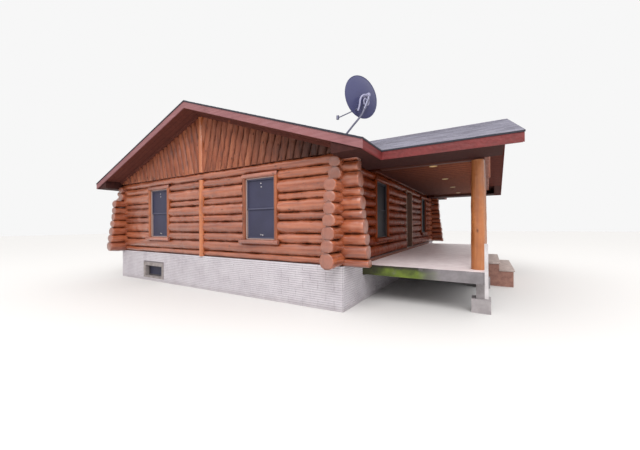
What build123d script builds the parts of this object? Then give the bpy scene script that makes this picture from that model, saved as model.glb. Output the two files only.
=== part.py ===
from build123d import *
import math
import os

# Log cabin with a covered porch along one side. Millimetres, Z up.
# It is drawn from the near right corner of its foundation top: X runs along the front gable,
# Y runs back along the porch side. Everything is moved at the end so that the origin lies
# under the middle of the whole building, on the ground.

# Cabin shell
CABIN_W = 9000
CABIN_L = 11000
FOUNDATION_T = 250
FOUNDATION_H = 950
FLOOR_T = 220
FLOOR_LEDGE = 80

# How far cuts reach: in front of a wall's face, behind it, past its corners, over its logs
OUTSIDE = -400
INSIDE = 600
PAST_CORNER = 1500
OVERHEAD = 4000
CLEAR = 100

# Log walls: the height of each log in the gable walls, from the sill log to the plate log
GABLE_COURSES = (165, 280, 235, 300, 195, 285, 175, 325, 220, 220)
LOG_JOINT = 150
LOG_FLATS = 4
LOG_ROUND = 0.27
LOG_SET = 115
CROWN_TOP = 330
CROWN_FLARE = 240
CROWN_CURVE = 1.3
SIDE_CROWN_LESS = 50
SHORT_CROWN = 130
SIDE_TOP_RISE = 200
POLE_SIDES = 12
POST_R = 75
POST_SEAT = LOG_SET - LOG_JOINT / 2

# Roof
ROOF_SLOPE = 0.357
EAVE_Z = 2429.5
ROOF_T = 170
EAVE = 675
RAKE = 553
FASCIA_H = 198
FASCIA_T = 25
SOFFIT_T = 12
FRIEZE_H = 80
FRIEZE_T = 40

# Gable infill of leaning half logs
INFILL_PITCH = 215
INFILL_LEAN = 14
INFILL_FRONT = -10
INFILL_BACK = 160
INFILL_VALLEY = 60
KING_R = 85

# Windows
WINDOW_W = 950
WINDOW_SILL = 515
WINDOW_HEAD = 2061
TRIM_W = 100
SILL_H = 110
HEAD_H = 119
SILL_NOSE = 110
SILL_EAR = 60
SILL_BACK = 50
FRAME_W = 45
FRAME_FRONT = 10
FRAME_DEPTH = 110
PANE_T = 6
RAIL_H = 40
FRONT_WINDOW_LEFT = 2160
FRONT_WINDOW_RIGHT = 2215
PORCH_WINDOW_NEAR = 2565
PORCH_WINDOW_FAR = 2500
SIDE_WINDOW_END = 2750

# Basement window in the front foundation
BASEMENT_SET = 2480
BASEMENT_W = 950
BASEMENT_TOP = -450
BASEMENT_BOTTOM = -800
BASEMENT_SURROUND = 110
BASEMENT_PROUD = 20

# Entrance door on the porch side
DOOR_SET = 170
DOOR_W = 910
DOOR_H = 2150
JAMB_T = 50
THRESHOLD_H = 20
LEAF_T = 45
LEAF_GAP = 5
STOP_T = 12
STOP_D = 30
DOOR_PROUD = 20
PANEL_INSET = 8
PANEL_ROWS = ((245, 880), (1040, 1945))
PANEL_SIDE = 120
PANEL_MIDDLE = 50
KNOB_SET = 70
KNOB_Z = 950
KNOB_R = 27
KNOB_OUT = 25
KNOB_D = 30
HINGE_R = 6
HINGE_H = 100
HINGE_PLATE = 55
HINGE_PLAY = 0.3
HINGE_LEVELS = (250, 1060, 1870)

# Porch
PORCH_OUT = 2578
PORCH_NEAR = 1060
SLAB_TOP = -77
SLAB_T = 236
POST_SETBACK = 158
PORCH_POST_R = 135
PORCH_END = 1480
POST_COUNT = 4
BEAM_BOTTOM = 2200
BEAM_TOP = 2400
BEAM_R = 130
END_BEAM_W = 140
CEILING_Z = 2300
CEILING_T = 18
LIGHT_X = 1450
LIGHT_R = 90
LIGHT_DROP = 8
LIGHT_SIDES = 20
LIGHT_COUNT = 4
LIGHT_NEAR = 2120
PORCH_EAVE = 974
PORCH_RIDGE_DROP = 65
PORCH_RAKE = 557
PORCH_WALL_OUT = 32
EAVE_BOX_OUT = 272
PIER_W = 200
PIER_H = 352
FOOTING_W = 350
FOOTING_OUT = 65
CORNER_BOARD_W = 64
CORNER_BOARD_T = 25
CORNER_BOARD_OUT = 22
CORNER_BOARD_TOP = 483
CORNER_BOARD_BOTTOM = -585

# Steps down from the porch
STEP_NEAR_SET = 1000
STEP_FAR_SET = 1600
STEP_TOPS = (-250, -450)
STEP_RUNS = (322, 672)
TREAD_T = 60
TREAD_NOSE = 30

# Satellite dish on the roof
DISH_CENTRE = Vector(570, -200, 3325)
DISH_FACING = Vector(-0.9, 0.41, 0.03).normalized()
DISH_W = 830
DISH_TALL = 800
DISH_SIDES = 24
DISH_CURVE = 1250
DISH_T = 6
DISH_BANDS = 4
MAST_R = 20
MAST_FOOT = Vector(150, -200, 0)
MAST_BEND = Vector(-95, -57, -280)
MAST_PLATE = 90
MAST_PLATE_T = 8
BRACKET_LENGTH = 120
BRACKET_DROP = 90
ARM_R = 11
ARM_SIDE = 168
ARM_DROP = 285
ARM_BACK = 50
ARM_REACH = 580
FEED_R = 30
FEED_LENGTH = 90

# Sizes that follow from the ones above
MID_X = -CABIN_W / 2
MID_Y = CABIN_L / 2
RIDGE_Z = EAVE_Z + ROOF_SLOPE * (CABIN_W / 2 + EAVE)
PORCH_ROOF_HALF = MID_Y - PORCH_END + PORCH_EAVE
PORCH_RIDGE_Z = RIDGE_Z - PORCH_RIDGE_DROP
PORCH_SLOPE = (PORCH_RIDGE_Z - EAVE_Z) / PORCH_ROOF_HALF
PORCH_EAVE_Y = MID_Y - PORCH_ROOF_HALF
PORCH_RAKE_X = PORCH_OUT + PORCH_RAKE
PORCH_WALL_X = PORCH_OUT + PORCH_WALL_OUT
POST_LINE = PORCH_OUT - POST_SETBACK
STEP_ENDS = [PORCH_OUT + run for run in STEP_RUNS]
STEP_NEAR = MID_Y - STEP_NEAR_SET
STEP_FAR = MID_Y + STEP_FAR_SET
FRONT_WINDOWS = (CABIN_W / 2 - FRONT_WINDOW_LEFT, CABIN_W / 2 + FRONT_WINDOW_RIGHT)
PORCH_WINDOWS = (PORCH_WINDOW_NEAR, CABIN_L - PORCH_WINDOW_FAR)
SIDE_WINDOWS = (SIDE_WINDOW_END, CABIN_L - SIDE_WINDOW_END)
BASEMENT_U = CABIN_W / 2 - BASEMENT_SET
DOOR_U = MID_Y - DOOR_SET
LIGHT_PITCH = (CABIN_L - 2 * LIGHT_NEAR) / (LIGHT_COUNT - 1)
SOFFIT_Z = EAVE_Z - FASCIA_H
FAR_END = CABIN_L - PORCH_END
PORCH_FAR = CABIN_L - PORCH_NEAR
GROUND = -FOUNDATION_H

course_tops = [sum(GABLE_COURSES[: i + 1]) for i in range(len(GABLE_COURSES))]
course_bottoms = [0] + course_tops[:-1]
course_middles = [(a + b) / 2 for a, b in zip(course_bottoms, course_tops)]
PLATE_Z = course_tops[-1]
side_bottoms = [0] + course_middles[1:]
side_tops = course_middles[1:] + [PLATE_Z + SIDE_TOP_RISE]
EAVE_BOARD_EDGE = LOG_JOINT / 2 + LOG_ROUND * (side_tops[-2] - side_bottoms[-2]) - LOG_SET + 1
BEAM_END = LOG_JOINT / 2 + LOG_ROUND * (side_tops[-1] - side_bottoms[-1]) - LOG_SET + 1

TO_GROUND_CENTRE = Pos(
    (CABIN_W + EAVE - STEP_ENDS[-1]) / 2, -MID_Y, FOUNDATION_H
)
FRONT = Pos(-CABIN_W, 0, 0)
PORCH_SIDE = Rot(0, 0, 90)
BACK = Pos(0, CABIN_L, 0) * Rot(0, 0, 180)
FAR_SIDE = Pos(-CABIN_W, CABIN_L, 0) * Rot(0, 0, -90)


def block(x0, x1, y0, y1, z0, z1):
    """A straight-sided block between two corners."""
    return Pos(x0, y0, z0) * Box(x1 - x0, y1 - y0, z1 - z0, align=Align.MIN)


def slab_along_y(points, y0, y1):
    """A profile drawn in the front plane, pushed back from y0 to y1."""
    face = make_face(Polyline(*[(x, y0, z) for x, z in points], close=True))
    return extrude(face, amount=y1 - y0, dir=(0, 1, 0))


def slab_along_x(points, x0, x1):
    """A profile drawn in the porch end plane, pushed out from x0 to x1."""
    face = make_face(Polyline(*[(x0, y, z) for y, z in points], close=True))
    return extrude(face, amount=x1 - x0, dir=(1, 0, 0))


def bar(radius, height, sides=POLE_SIDES):
    """An upright round bar on its base, drawn with this many flats."""
    return extrude(RegularPolygon(radius, sides), amount=height)


def rod(start, end, radius, sides=POLE_SIDES):
    """A round bar between two points."""
    along = Vector(end) - Vector(start)
    return extrude(Plane(start, z_dir=along) * RegularPolygon(radius, sides), amount=along.length)


def bow(start, end, bulge):
    """Points of a shallow arc from start to end, bulging to the left of the way, without its end."""
    (x0, y0), (x1, y1) = start, end
    length = math.hypot(x1 - x0, y1 - y0)
    radius = (length**2 / 4 + bulge**2) / (2 * bulge)
    half = math.asin(min(1, length / 2 / radius))
    points = []
    for i in range(LOG_FLATS):
        angle = -half + 2 * half * i / LOG_FLATS
        along = 0.5 + radius * math.sin(angle) / length
        out = radius * math.cos(angle) - (radius - bulge)
        x = x0 + (x1 - x0) * along - (y1 - y0) / length * out
        y = y0 + (y1 - y0) * along + (x1 - x0) / length * out
        points.append((x, y))
    return points


def roof_z(x):
    return RIDGE_Z - ROOF_SLOPE * abs(x - MID_X)


def porch_roof_z(y):
    return PORCH_RIDGE_Z - PORCH_SLOPE * abs(y - MID_Y)


def crown_length(z, less=0):
    """How far a log end runs past the corner: longest at the sill, shortest at the plate."""
    return CROWN_TOP - less + CROWN_FLARE * (1 - z / PLATE_Z) ** CROWN_CURVE


def half_log(bottom, top):
    """Half the thickness of a log whose joints with its neighbours are at these heights."""
    return LOG_JOINT / 2 + LOG_ROUND * (top - bottom)


def log(bottom, top, start, end):
    """One wall log: rounded faces between two flat joints, run along the wall."""
    near = LOG_SET - LOG_JOINT / 2
    far = LOG_SET + LOG_JOINT / 2
    bulge = half_log(bottom, top) - LOG_JOINT / 2
    outline = bow((near, bottom), (near, top), bulge) + bow((far, top), (far, bottom), bulge)
    outline.insert(LOG_FLATS, (near, top))
    outline.append((far, bottom))
    return slab_along_x(outline, start, end)


def window_cut(u):
    """The hole that a window and its log trim need in a wall."""
    half = WINDOW_W / 2 + TRIM_W
    return block(u - half, u + half, OUTSIDE, INSIDE, WINDOW_SILL - SILL_H, WINDOW_HEAD + HEAD_H)


def gable_wall():
    """Nine courses of a gable wall, notched over the side logs and cut for two windows."""
    wall = Part()
    for bottom, top in zip(course_bottoms[:-1], course_tops[:-1]):
        crown = crown_length((bottom + top) / 2)
        wall += log(bottom, top, -crown, CABIN_W + crown)
    for bottom, top, middle in zip(side_bottoms[:-1], side_tops[:-1], course_tops):
        reach = half_log(bottom, top)
        for u in (LOG_SET, CABIN_W - LOG_SET):
            wall -= block(u - reach, u + reach, OUTSIDE, INSIDE, middle, top)
    for u in FRONT_WINDOWS:
        wall -= window_cut(u)
    wall -= block(CABIN_W / 2 - POST_R, CABIN_W / 2 + POST_R, OUTSIDE, POST_SEAT, 0, PLATE_Z)
    return wall


def plate_log():
    """The top log of a gable wall, in one length."""
    crown = crown_length(PLATE_Z)
    plate = log(course_bottoms[-1], PLATE_Z, -crown, CABIN_W + crown)
    reach = half_log(side_bottoms[-2], side_tops[-2])
    for u in (LOG_SET, CABIN_W - LOG_SET):
        plate -= block(u - reach, u + reach, OUTSIDE, INSIDE, course_tops[-2], side_tops[-2])
    for a, b in ((-2 * crown, -EAVE_BOARD_EDGE), (CABIN_W + EAVE_BOARD_EDGE, CABIN_W + 2 * crown)):
        plate -= block(a, b, OUTSIDE, INSIDE, SOFFIT_Z, PLATE_Z + CLEAR)
    return plate


def side_wall(windows):
    """The courses of a side wall, with its top log cut to the slope of the roof."""
    wall = Part()
    last = len(side_bottoms) - 1
    for i, (bottom, top) in enumerate(zip(side_bottoms, side_tops)):
        crown = crown_length(course_tops[min(i, last - 1)], SIDE_CROWN_LESS)
        if i >= last - 2:
            crown = SHORT_CROWN
        if i == last:
            crown = -INFILL_BACK
        wall += log(bottom, top, -crown, CABIN_L + crown)
    for bottom, top, middle in zip(course_bottoms, course_tops, course_middles):
        reach = half_log(bottom, top)
        low = 0 if bottom == 0 else middle
        for u in (LOG_SET, CABIN_L - LOG_SET):
            wall -= block(u - reach, u + reach, OUTSIDE, INSIDE, low, top)
    for u in windows:
        wall -= window_cut(u)
    under = [
        (-INSIDE, roof_z(INSIDE) - ROOF_T),
        (INSIDE, roof_z(-INSIDE) - ROOF_T),
        (INSIDE, OVERHEAD),
        (-INSIDE, OVERHEAD),
    ]
    return wall - slab_along_x(under, -CABIN_L, 2 * CABIN_L)


def window_trim(u):
    """Half-log sides, a short log over the window and a projecting log sill, in one frame."""
    low = WINDOW_SILL - SILL_H
    high = WINDOW_HEAD + HEAD_H
    outer = WINDOW_W / 2 + TRIM_W
    back = LOG_SET + LOG_JOINT / 2
    trim = block(u - outer, u + outer, 0, back, low, high)
    for side in (-1, 1):
        at = u + side * (WINDOW_W / 2 + TRIM_W / 2)
        trim += Pos(at, 0, low) * bar(TRIM_W / 2, high - low)
    trim += rod((u - outer, 0, high - HEAD_H / 2), (u + outer, 0, high - HEAD_H / 2), HEAD_H / 2)
    nose = (-SILL_NOSE + SILL_H / 2, low + SILL_H / 2)
    trim += rod((u - outer - SILL_EAR, *nose), (u + outer + SILL_EAR, *nose), SILL_H / 2)
    trim += block(u - outer, u + outer, -SILL_NOSE + SILL_H / 2, 0, low, low + SILL_H)
    trim -= block(u - WINDOW_W / 2, u + WINDOW_W / 2, OUTSIDE, INSIDE, WINDOW_SILL, WINDOW_HEAD)
    for a, b in ((u - outer - SILL_EAR, u - outer), (u + outer, u + outer + SILL_EAR)):
        trim -= block(a, b, -SILL_BACK, INSIDE, low, high)
    return trim


def window_frame(u):
    """The frame of a double-hung window with its meeting rail."""
    left = u - WINDOW_W / 2
    right = u + WINDOW_W / 2
    middle = (WINDOW_SILL + WINDOW_HEAD) / 2
    frame = block(left, right, FRAME_FRONT, FRAME_FRONT + FRAME_DEPTH, WINDOW_SILL, WINDOW_HEAD)
    for low, high in (
        (WINDOW_SILL + FRAME_W, middle - RAIL_H / 2),
        (middle + RAIL_H / 2, WINDOW_HEAD - FRAME_W),
    ):
        frame -= block(left + FRAME_W, right - FRAME_W, OUTSIDE, INSIDE, low, high)
    return frame


def window_panes(u):
    """The lower and the upper glass of a window."""
    middle = (WINDOW_SILL + WINDOW_HEAD) / 2
    y = FRAME_FRONT + FRAME_DEPTH / 2
    left = u - WINDOW_W / 2 + FRAME_W
    right = u + WINDOW_W / 2 - FRAME_W
    return [
        block(left, right, y, y + PANE_T, WINDOW_SILL + FRAME_W, middle - RAIL_H / 2),
        block(left, right, y, y + PANE_T, middle + RAIL_H / 2, WINDOW_HEAD - FRAME_W),
    ]


def leaning_logs(run, height, rise):
    """One half of a gable infill: half logs that lean away from the king post, under the rafters.

    It is drawn outwards from u = KING_R to u = run; height is its depth at the middle line.
    """
    lean = math.radians(INFILL_LEAN)
    count = math.ceil(2 * run / INFILL_PITCH)
    start = -run / 2
    along = (math.sin(lean), 0, math.cos(lean))
    across = (math.cos(lean), 0, -math.sin(lean))
    bulge = INFILL_VALLEY - INFILL_FRONT
    edge = []
    for i in range(count, 0, -1):
        edge += bow((i * INFILL_PITCH, INFILL_VALLEY), ((i - 1) * INFILL_PITCH, INFILL_VALLEY), bulge)
    edge += [(0, INFILL_VALLEY), (0, INFILL_BACK), (count * INFILL_PITCH, INFILL_BACK)]
    drawing = Plane((start, 0, 0), x_dir=across, z_dir=along)
    ribs = extrude(drawing * make_face(Polyline(*edge, close=True)), amount=2 * height, both=True)
    outline = [(KING_R, 0), (run, 0), (run, height - rise * run), (KING_R, height - rise * KING_R)]
    return ribs & slab_along_y(outline, OUTSIDE, INSIDE)


def gable_infill():
    """Both halves of a gable infill above the plate log, in the frame of its wall."""
    height = RIDGE_Z - ROOF_T - PLATE_Z
    half = leaning_logs(CABIN_W / 2, height, ROOF_SLOPE)
    right = Pos(CABIN_W / 2, 0, PLATE_Z) * half
    return mirror(right, Plane.YZ.offset(CABIN_W / 2)), right


def king_post(height, slope, stop=0):
    """The upright half log in the middle of a gable, from the plate to the ridge."""
    post = bar(KING_R, height) + block(-KING_R, KING_R, 0, INFILL_BACK, 0, height)
    post -= block(-2 * KING_R, -KING_R, -RAKE, RAKE, 0, height)
    post -= block(KING_R, 2 * KING_R, -RAKE, RAKE, 0, height)
    post -= block(-KING_R, KING_R, -RAKE, INFILL_FRONT, height - stop - slope * KING_R, height)
    side = height - slope * KING_R
    roof = [(-KING_R, side), (0, height), (KING_R, side)]
    roof += [(KING_R, height + CLEAR), (-KING_R, height + CLEAR)]
    return post - slab_along_y(roof, OUTSIDE, INSIDE)


def chevron(half, ridge, drop_top, drop_bottom, slope=ROOF_SLOPE):
    """The two sloping bands of a gable trim, as points either side of its middle line."""
    low = ridge - slope * half
    return [
        (-half, low - drop_top),
        (0, ridge - drop_top),
        (half, low - drop_top),
        (half, low - drop_bottom),
        (0, ridge - drop_bottom),
        (-half, low - drop_bottom),
    ]


def rake_fascia():
    """The sloping boards along the edge of a main gable, in the frame of its wall."""
    points = chevron(CABIN_W / 2 + EAVE, RIDGE_Z, 0, FASCIA_H)
    return slab_along_y([(x + CABIN_W / 2, z) for x, z in points], -RAKE, -RAKE + FASCIA_T)


def rake_soffit():
    """The boards under a main gable's overhang, and the frieze board against its logs."""
    half = CABIN_W / 2
    lid = chevron(half + EAVE_BOARD_EDGE, RIDGE_Z, ROOF_T, ROOF_T + SOFFIT_T)
    soffit = slab_along_y([(x + half, z) for x, z in lid], -RAKE + FASCIA_T, INFILL_FRONT)
    band = chevron(half, RIDGE_Z, ROOF_T + SOFFIT_T, ROOF_T + SOFFIT_T + FRIEZE_H)
    frieze = slab_along_y([(x + half, z) for x, z in band], INFILL_FRONT - FRIEZE_T, INFILL_FRONT)
    frieze -= block(-half, CABIN_W + half, -RAKE, RAKE, 0, PLATE_Z)
    return soffit + frieze


def solids_of(shape):
    """The separate solids of one or more shapes."""
    if isinstance(shape, (list, tuple)):
        return [solid for one in shape for solid in one.solids()]
    return list(shape.solids())


def save(name, shape):
    """Write one named piece, moved into the frame of the whole building."""
    moved = [TO_GROUND_CENTRE * solid for solid in solids_of(shape)]
    result = moved[0] if len(moved) == 1 else Compound(children=moved)
    export_step(result, f"parts/{name}.step")


def make_foundation():
    ledge = block(
        -CABIN_W + FOUNDATION_T - FLOOR_LEDGE,
        -FOUNDATION_T + FLOOR_LEDGE,
        FOUNDATION_T - FLOOR_LEDGE,
        CABIN_L - FOUNDATION_T + FLOOR_LEDGE,
        -FLOOR_T,
        0,
    )
    front = block(-CABIN_W, 0, 0, FOUNDATION_T, GROUND, 0)
    u = BASEMENT_U - CABIN_W
    half = BASEMENT_W / 2 + BASEMENT_SURROUND
    low = BASEMENT_BOTTOM - BASEMENT_SURROUND / 2
    high = BASEMENT_TOP + BASEMENT_SURROUND
    front -= block(u - half, u + half, -CLEAR, FOUNDATION_T + CLEAR, low, high)
    back = block(-CABIN_W, 0, CABIN_L - FOUNDATION_T, CABIN_L, GROUND, 0)
    left = block(-CABIN_W, -CABIN_W + FOUNDATION_T, FOUNDATION_T, CABIN_L - FOUNDATION_T, GROUND, 0)
    right = block(-FOUNDATION_T, 0, FOUNDATION_T, CABIN_L - FOUNDATION_T, GROUND, 0)
    save("foundation_front", front - ledge)
    save("foundation_back", back - ledge)
    save("foundation_left", left - ledge)
    save("foundation_right", right - ledge)
    save("cabin_floor", ledge)
    surround = block(u - half, u + half, -BASEMENT_PROUD, FOUNDATION_T, low, high)
    hole = (u - BASEMENT_W / 2, u + BASEMENT_W / 2)
    surround -= block(*hole, -CLEAR, FOUNDATION_T + CLEAR, BASEMENT_BOTTOM, BASEMENT_TOP)
    save("basement_window_surround", surround)
    middle = FOUNDATION_T / 2
    sash = block(*hole, middle - FRAME_W / 2, middle + FRAME_W / 2, BASEMENT_BOTTOM, BASEMENT_TOP)
    inner = (hole[0] + FRAME_W, hole[1] - FRAME_W)
    levels = (BASEMENT_BOTTOM + FRAME_W, BASEMENT_TOP - FRAME_W)
    save("basement_window_sash", sash - block(*inner, -CLEAR, FOUNDATION_T + CLEAR, *levels))
    save("basement_window_pane", block(*inner, middle, middle + PANE_T, *levels))


def make_walls():
    wall = gable_wall()
    half_left = wall & block(-PAST_CORNER, CABIN_W / 2, OUTSIDE, INSIDE, 0, PLATE_Z)
    half_right = wall & block(CABIN_W / 2, CABIN_W + PAST_CORNER, OUTSIDE, INSIDE, 0, PLATE_Z)
    save("front_wall_left", FRONT * half_left)
    save("front_wall_right", FRONT * half_right)
    save("back_wall", [BACK * half_left, BACK * half_right])
    plate = plate_log()
    save("front_plate_log", FRONT * plate)
    save("back_plate_log", BACK * plate)
    post = bar(POST_R, course_bottoms[-1])
    post += block(-POST_R, POST_R, 0, POST_SEAT, 0, course_bottoms[-1])
    post -= block(-POST_R, POST_R, POST_SEAT, 2 * POST_R, 0, course_bottoms[-1])
    post = Pos(CABIN_W / 2, 0, 0) * post
    save("front_centre_post", FRONT * post)
    king = Pos(CABIN_W / 2, 0, PLATE_Z) * king_post(RIDGE_Z - ROOF_T - PLATE_Z, ROOF_SLOPE, SOFFIT_T + FRIEZE_H)
    save("front_king_post", FRONT * king)
    save("back_posts", [BACK * post, BACK * king])
    save("left_wall", FAR_SIDE * side_wall(SIDE_WINDOWS))
    porch_wall = side_wall(PORCH_WINDOWS)
    far = DOOR_U + DOOR_W
    save("right_wall_near", PORCH_SIDE * (porch_wall & block(-PAST_CORNER, DOOR_U, OUTSIDE, INSIDE, 0, OVERHEAD)))
    save("right_wall_far", PORCH_SIDE * (porch_wall & block(far, CABIN_L + PAST_CORNER, OUTSIDE, INSIDE, 0, OVERHEAD)))
    over = porch_wall & block(DOOR_U, far, OUTSIDE, INSIDE, DOOR_H, OVERHEAD)
    save("right_wall_over_door", PORCH_SIDE * over)


def make_gables():
    left, right = gable_infill()
    save("front_gable_logs", [FRONT * left, FRONT * right])
    save("back_gable_logs", [BACK * left, BACK * right])
    height = PORCH_RIDGE_Z - ROOF_T - BEAM_TOP
    run = MID_Y - PORCH_END + END_BEAM_W / 2
    half = Pos(0, 0, BEAM_TOP) * leaning_logs(run, height, PORCH_SLOPE)
    both = [half, mirror(half, Plane.YZ)]
    at = Pos(PORCH_WALL_X, MID_Y, 0) * Rot(0, 0, 90) * Pos(0, -INFILL_FRONT, 0)
    save("porch_gable_logs", [at * one for one in both])
    save("porch_king_post", at * Pos(0, 0, BEAM_TOP) * king_post(height, PORCH_SLOPE))


def make_windows():
    walls = (
        (FRONT, FRONT_WINDOWS),
        (PORCH_SIDE, PORCH_WINDOWS),
        (BACK, FRONT_WINDOWS),
        (FAR_SIDE, SIDE_WINDOWS),
    )
    spots = [(place, u) for place, row in walls for u in row]
    save("window_log_trim", [place * window_trim(u) for place, u in spots])
    save("window_frames", [place * window_frame(u) for place, u in spots])
    save("window_panes", [place * pane for place, u in spots for pane in window_panes(u)])


def make_door():
    inner = LOG_SET + half_log(0, 2 * LOG_SET)
    left = DOOR_U
    right = DOOR_U + DOOR_W
    frame = block(left, right, -DOOR_PROUD, inner, 0, DOOR_H)
    frame -= block(left + JAMB_T, right - JAMB_T, -CLEAR, inner + CLEAR, THRESHOLD_H, DOOR_H - JAMB_T)
    leaf_back = inner
    leaf_front = inner - LEAF_T
    stop = block(
        left + JAMB_T, right - JAMB_T, leaf_front - LEAF_GAP - STOP_D, leaf_front - LEAF_GAP,
        THRESHOLD_H, DOOR_H - JAMB_T,
    )
    stop -= block(
        left + JAMB_T + STOP_T, right - JAMB_T - STOP_T, 0, inner,
        THRESHOLD_H, DOOR_H - JAMB_T - STOP_T,
    )
    frame += stop
    leaf_left = left + JAMB_T + LEAF_GAP
    leaf_right = right - JAMB_T - LEAF_GAP
    leaf_low = THRESHOLD_H + LEAF_GAP
    leaf_high = DOOR_H - JAMB_T - LEAF_GAP
    leaf = block(leaf_left, leaf_right, leaf_front, leaf_back, leaf_low, leaf_high)
    middle = (leaf_left + leaf_right) / 2
    columns = (
        (leaf_left + PANEL_SIDE, middle - PANEL_MIDDLE),
        (middle + PANEL_MIDDLE, leaf_right - PANEL_SIDE),
    )
    for low, high in PANEL_ROWS:
        for a, b in columns:
            leaf -= block(a, b, leaf_front - 1, leaf_front + PANEL_INSET, low, high)
            leaf -= block(a, b, leaf_back - PANEL_INSET, leaf_back + 1, low, high)
    pivot_y = inner + HINGE_R
    pivot_u = leaf_right
    for z in HINGE_LEVELS:
        third = HINGE_H / 3
        for i in range(3):
            low = z + i * third + HINGE_PLAY / 2
            high = z + (i + 1) * third - HINGE_PLAY / 2
            knuckle = Pos(pivot_u, pivot_y, low) * bar(HINGE_R, high - low)
            if i == 1:
                frame += block(pivot_u, pivot_u + HINGE_PLATE, inner, pivot_y, low, high) + knuckle
            else:
                leaf += block(pivot_u - HINGE_PLATE, pivot_u, inner, pivot_y, low, high) + knuckle
    knob_u = leaf_left + KNOB_SET
    leaf += rod(
        (knob_u, leaf_front - KNOB_OUT, KNOB_Z), (knob_u, leaf_back + KNOB_OUT, KNOB_Z), KNOB_R / 3
    )
    for a in (leaf_front - KNOB_OUT - KNOB_D, leaf_back + KNOB_OUT):
        leaf += rod((knob_u, a, KNOB_Z), (knob_u, a + KNOB_D, KNOB_Z), KNOB_R)
    save("door_frame", PORCH_SIDE * frame)
    save("front_door", PORCH_SIDE * leaf)


def make_main_roof():
    half = CABIN_W / 2
    left_end = -CABIN_W - EAVE + FASCIA_T
    right_end = EAVE - FASCIA_T
    y0 = -RAKE + FASCIA_T
    y1 = CABIN_L + RAKE - FASCIA_T
    valley_x = MID_X + PORCH_RIDGE_DROP / ROOF_SLOPE
    far_x = 2 * PORCH_RAKE_X
    plan = [
        (valley_x, MID_Y),
        (EAVE, PORCH_EAVE_Y),
        (far_x, PORCH_EAVE_Y),
        (far_x, 2 * MID_Y - PORCH_EAVE_Y),
        (EAVE, 2 * MID_Y - PORCH_EAVE_Y),
    ]
    v_shape = extrude(make_face(Polyline(*plan, close=True)), amount=2 * RIDGE_Z)
    for name, end in (("left", left_end), ("right", right_end)):
        points = [
            (MID_X, RIDGE_Z), (end, roof_z(end)), (end, roof_z(end) - ROOF_T), (MID_X, RIDGE_Z - ROOF_T)
        ]
        panel = slab_along_y(points, y0, y1)
        save(f"main_roof_{name}", panel - v_shape if name == "right" else panel)
    x1 = PORCH_RAKE_X - FASCIA_T
    for name, sign in (("near", -1), ("far", 1)):
        end = MID_Y + sign * (PORCH_ROOF_HALF - FASCIA_T)
        points = [
            (MID_Y, PORCH_RIDGE_Z), (end, porch_roof_z(end)),
            (end, porch_roof_z(end) - ROOF_T), (MID_Y, PORCH_RIDGE_Z - ROOF_T),
        ]
        save(f"porch_roof_{name}", slab_along_x(points, valley_x, x1) & v_shape)


def make_trim():
    for name, place in (("front", FRONT), ("back", BACK)):
        save(f"{name}_rake_fascia", place * rake_fascia())
        save(f"{name}_rake_soffit", place * rake_soffit())
    y0 = -RAKE + FASCIA_T
    y1 = CABIN_L + RAKE - FASCIA_T
    near = PORCH_EAVE_Y
    far = CABIN_L - PORCH_EAVE_Y
    eave_left = (-CABIN_W - EAVE, -CABIN_W - EAVE + FASCIA_T)
    eave_right = (EAVE - FASCIA_T, EAVE)
    porch_x = (EAVE, PORCH_RAKE_X - FASCIA_T)
    runs = (
        (*eave_left, y0, y1),
        (*eave_right, y0, near),
        (*eave_right, far, y1),
        (*porch_x, near, near + FASCIA_T),
        (*porch_x, far - FASCIA_T, far),
    )
    save("eave_fascias", [block(*run, SOFFIT_Z, EAVE_Z) for run in runs])
    ends = chevron(PORCH_ROOF_HALF, PORCH_RIDGE_Z, 0, FASCIA_H, PORCH_SLOPE)
    board = slab_along_x([(y + MID_Y, z) for y, z in ends], PORCH_RAKE_X - FASCIA_T, PORCH_RAKE_X)
    save("porch_rake_fascia", board)
    reach = MID_Y - PORCH_END + END_BEAM_W / 2
    lid = chevron(reach, PORCH_RIDGE_Z, ROOF_T, ROOF_T + SOFFIT_T, PORCH_SLOPE)
    soffit = slab_along_x([(y + MID_Y, z) for y, z in lid], PORCH_WALL_X, PORCH_RAKE_X - FASCIA_T)
    out = PORCH_WALL_X + INFILL_FRONT + KING_R
    notch = block(PORCH_WALL_X, out, MID_Y - KING_R, MID_Y + KING_R, 0, RIDGE_Z)
    save("porch_rake_soffit", soffit - notch)


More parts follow.
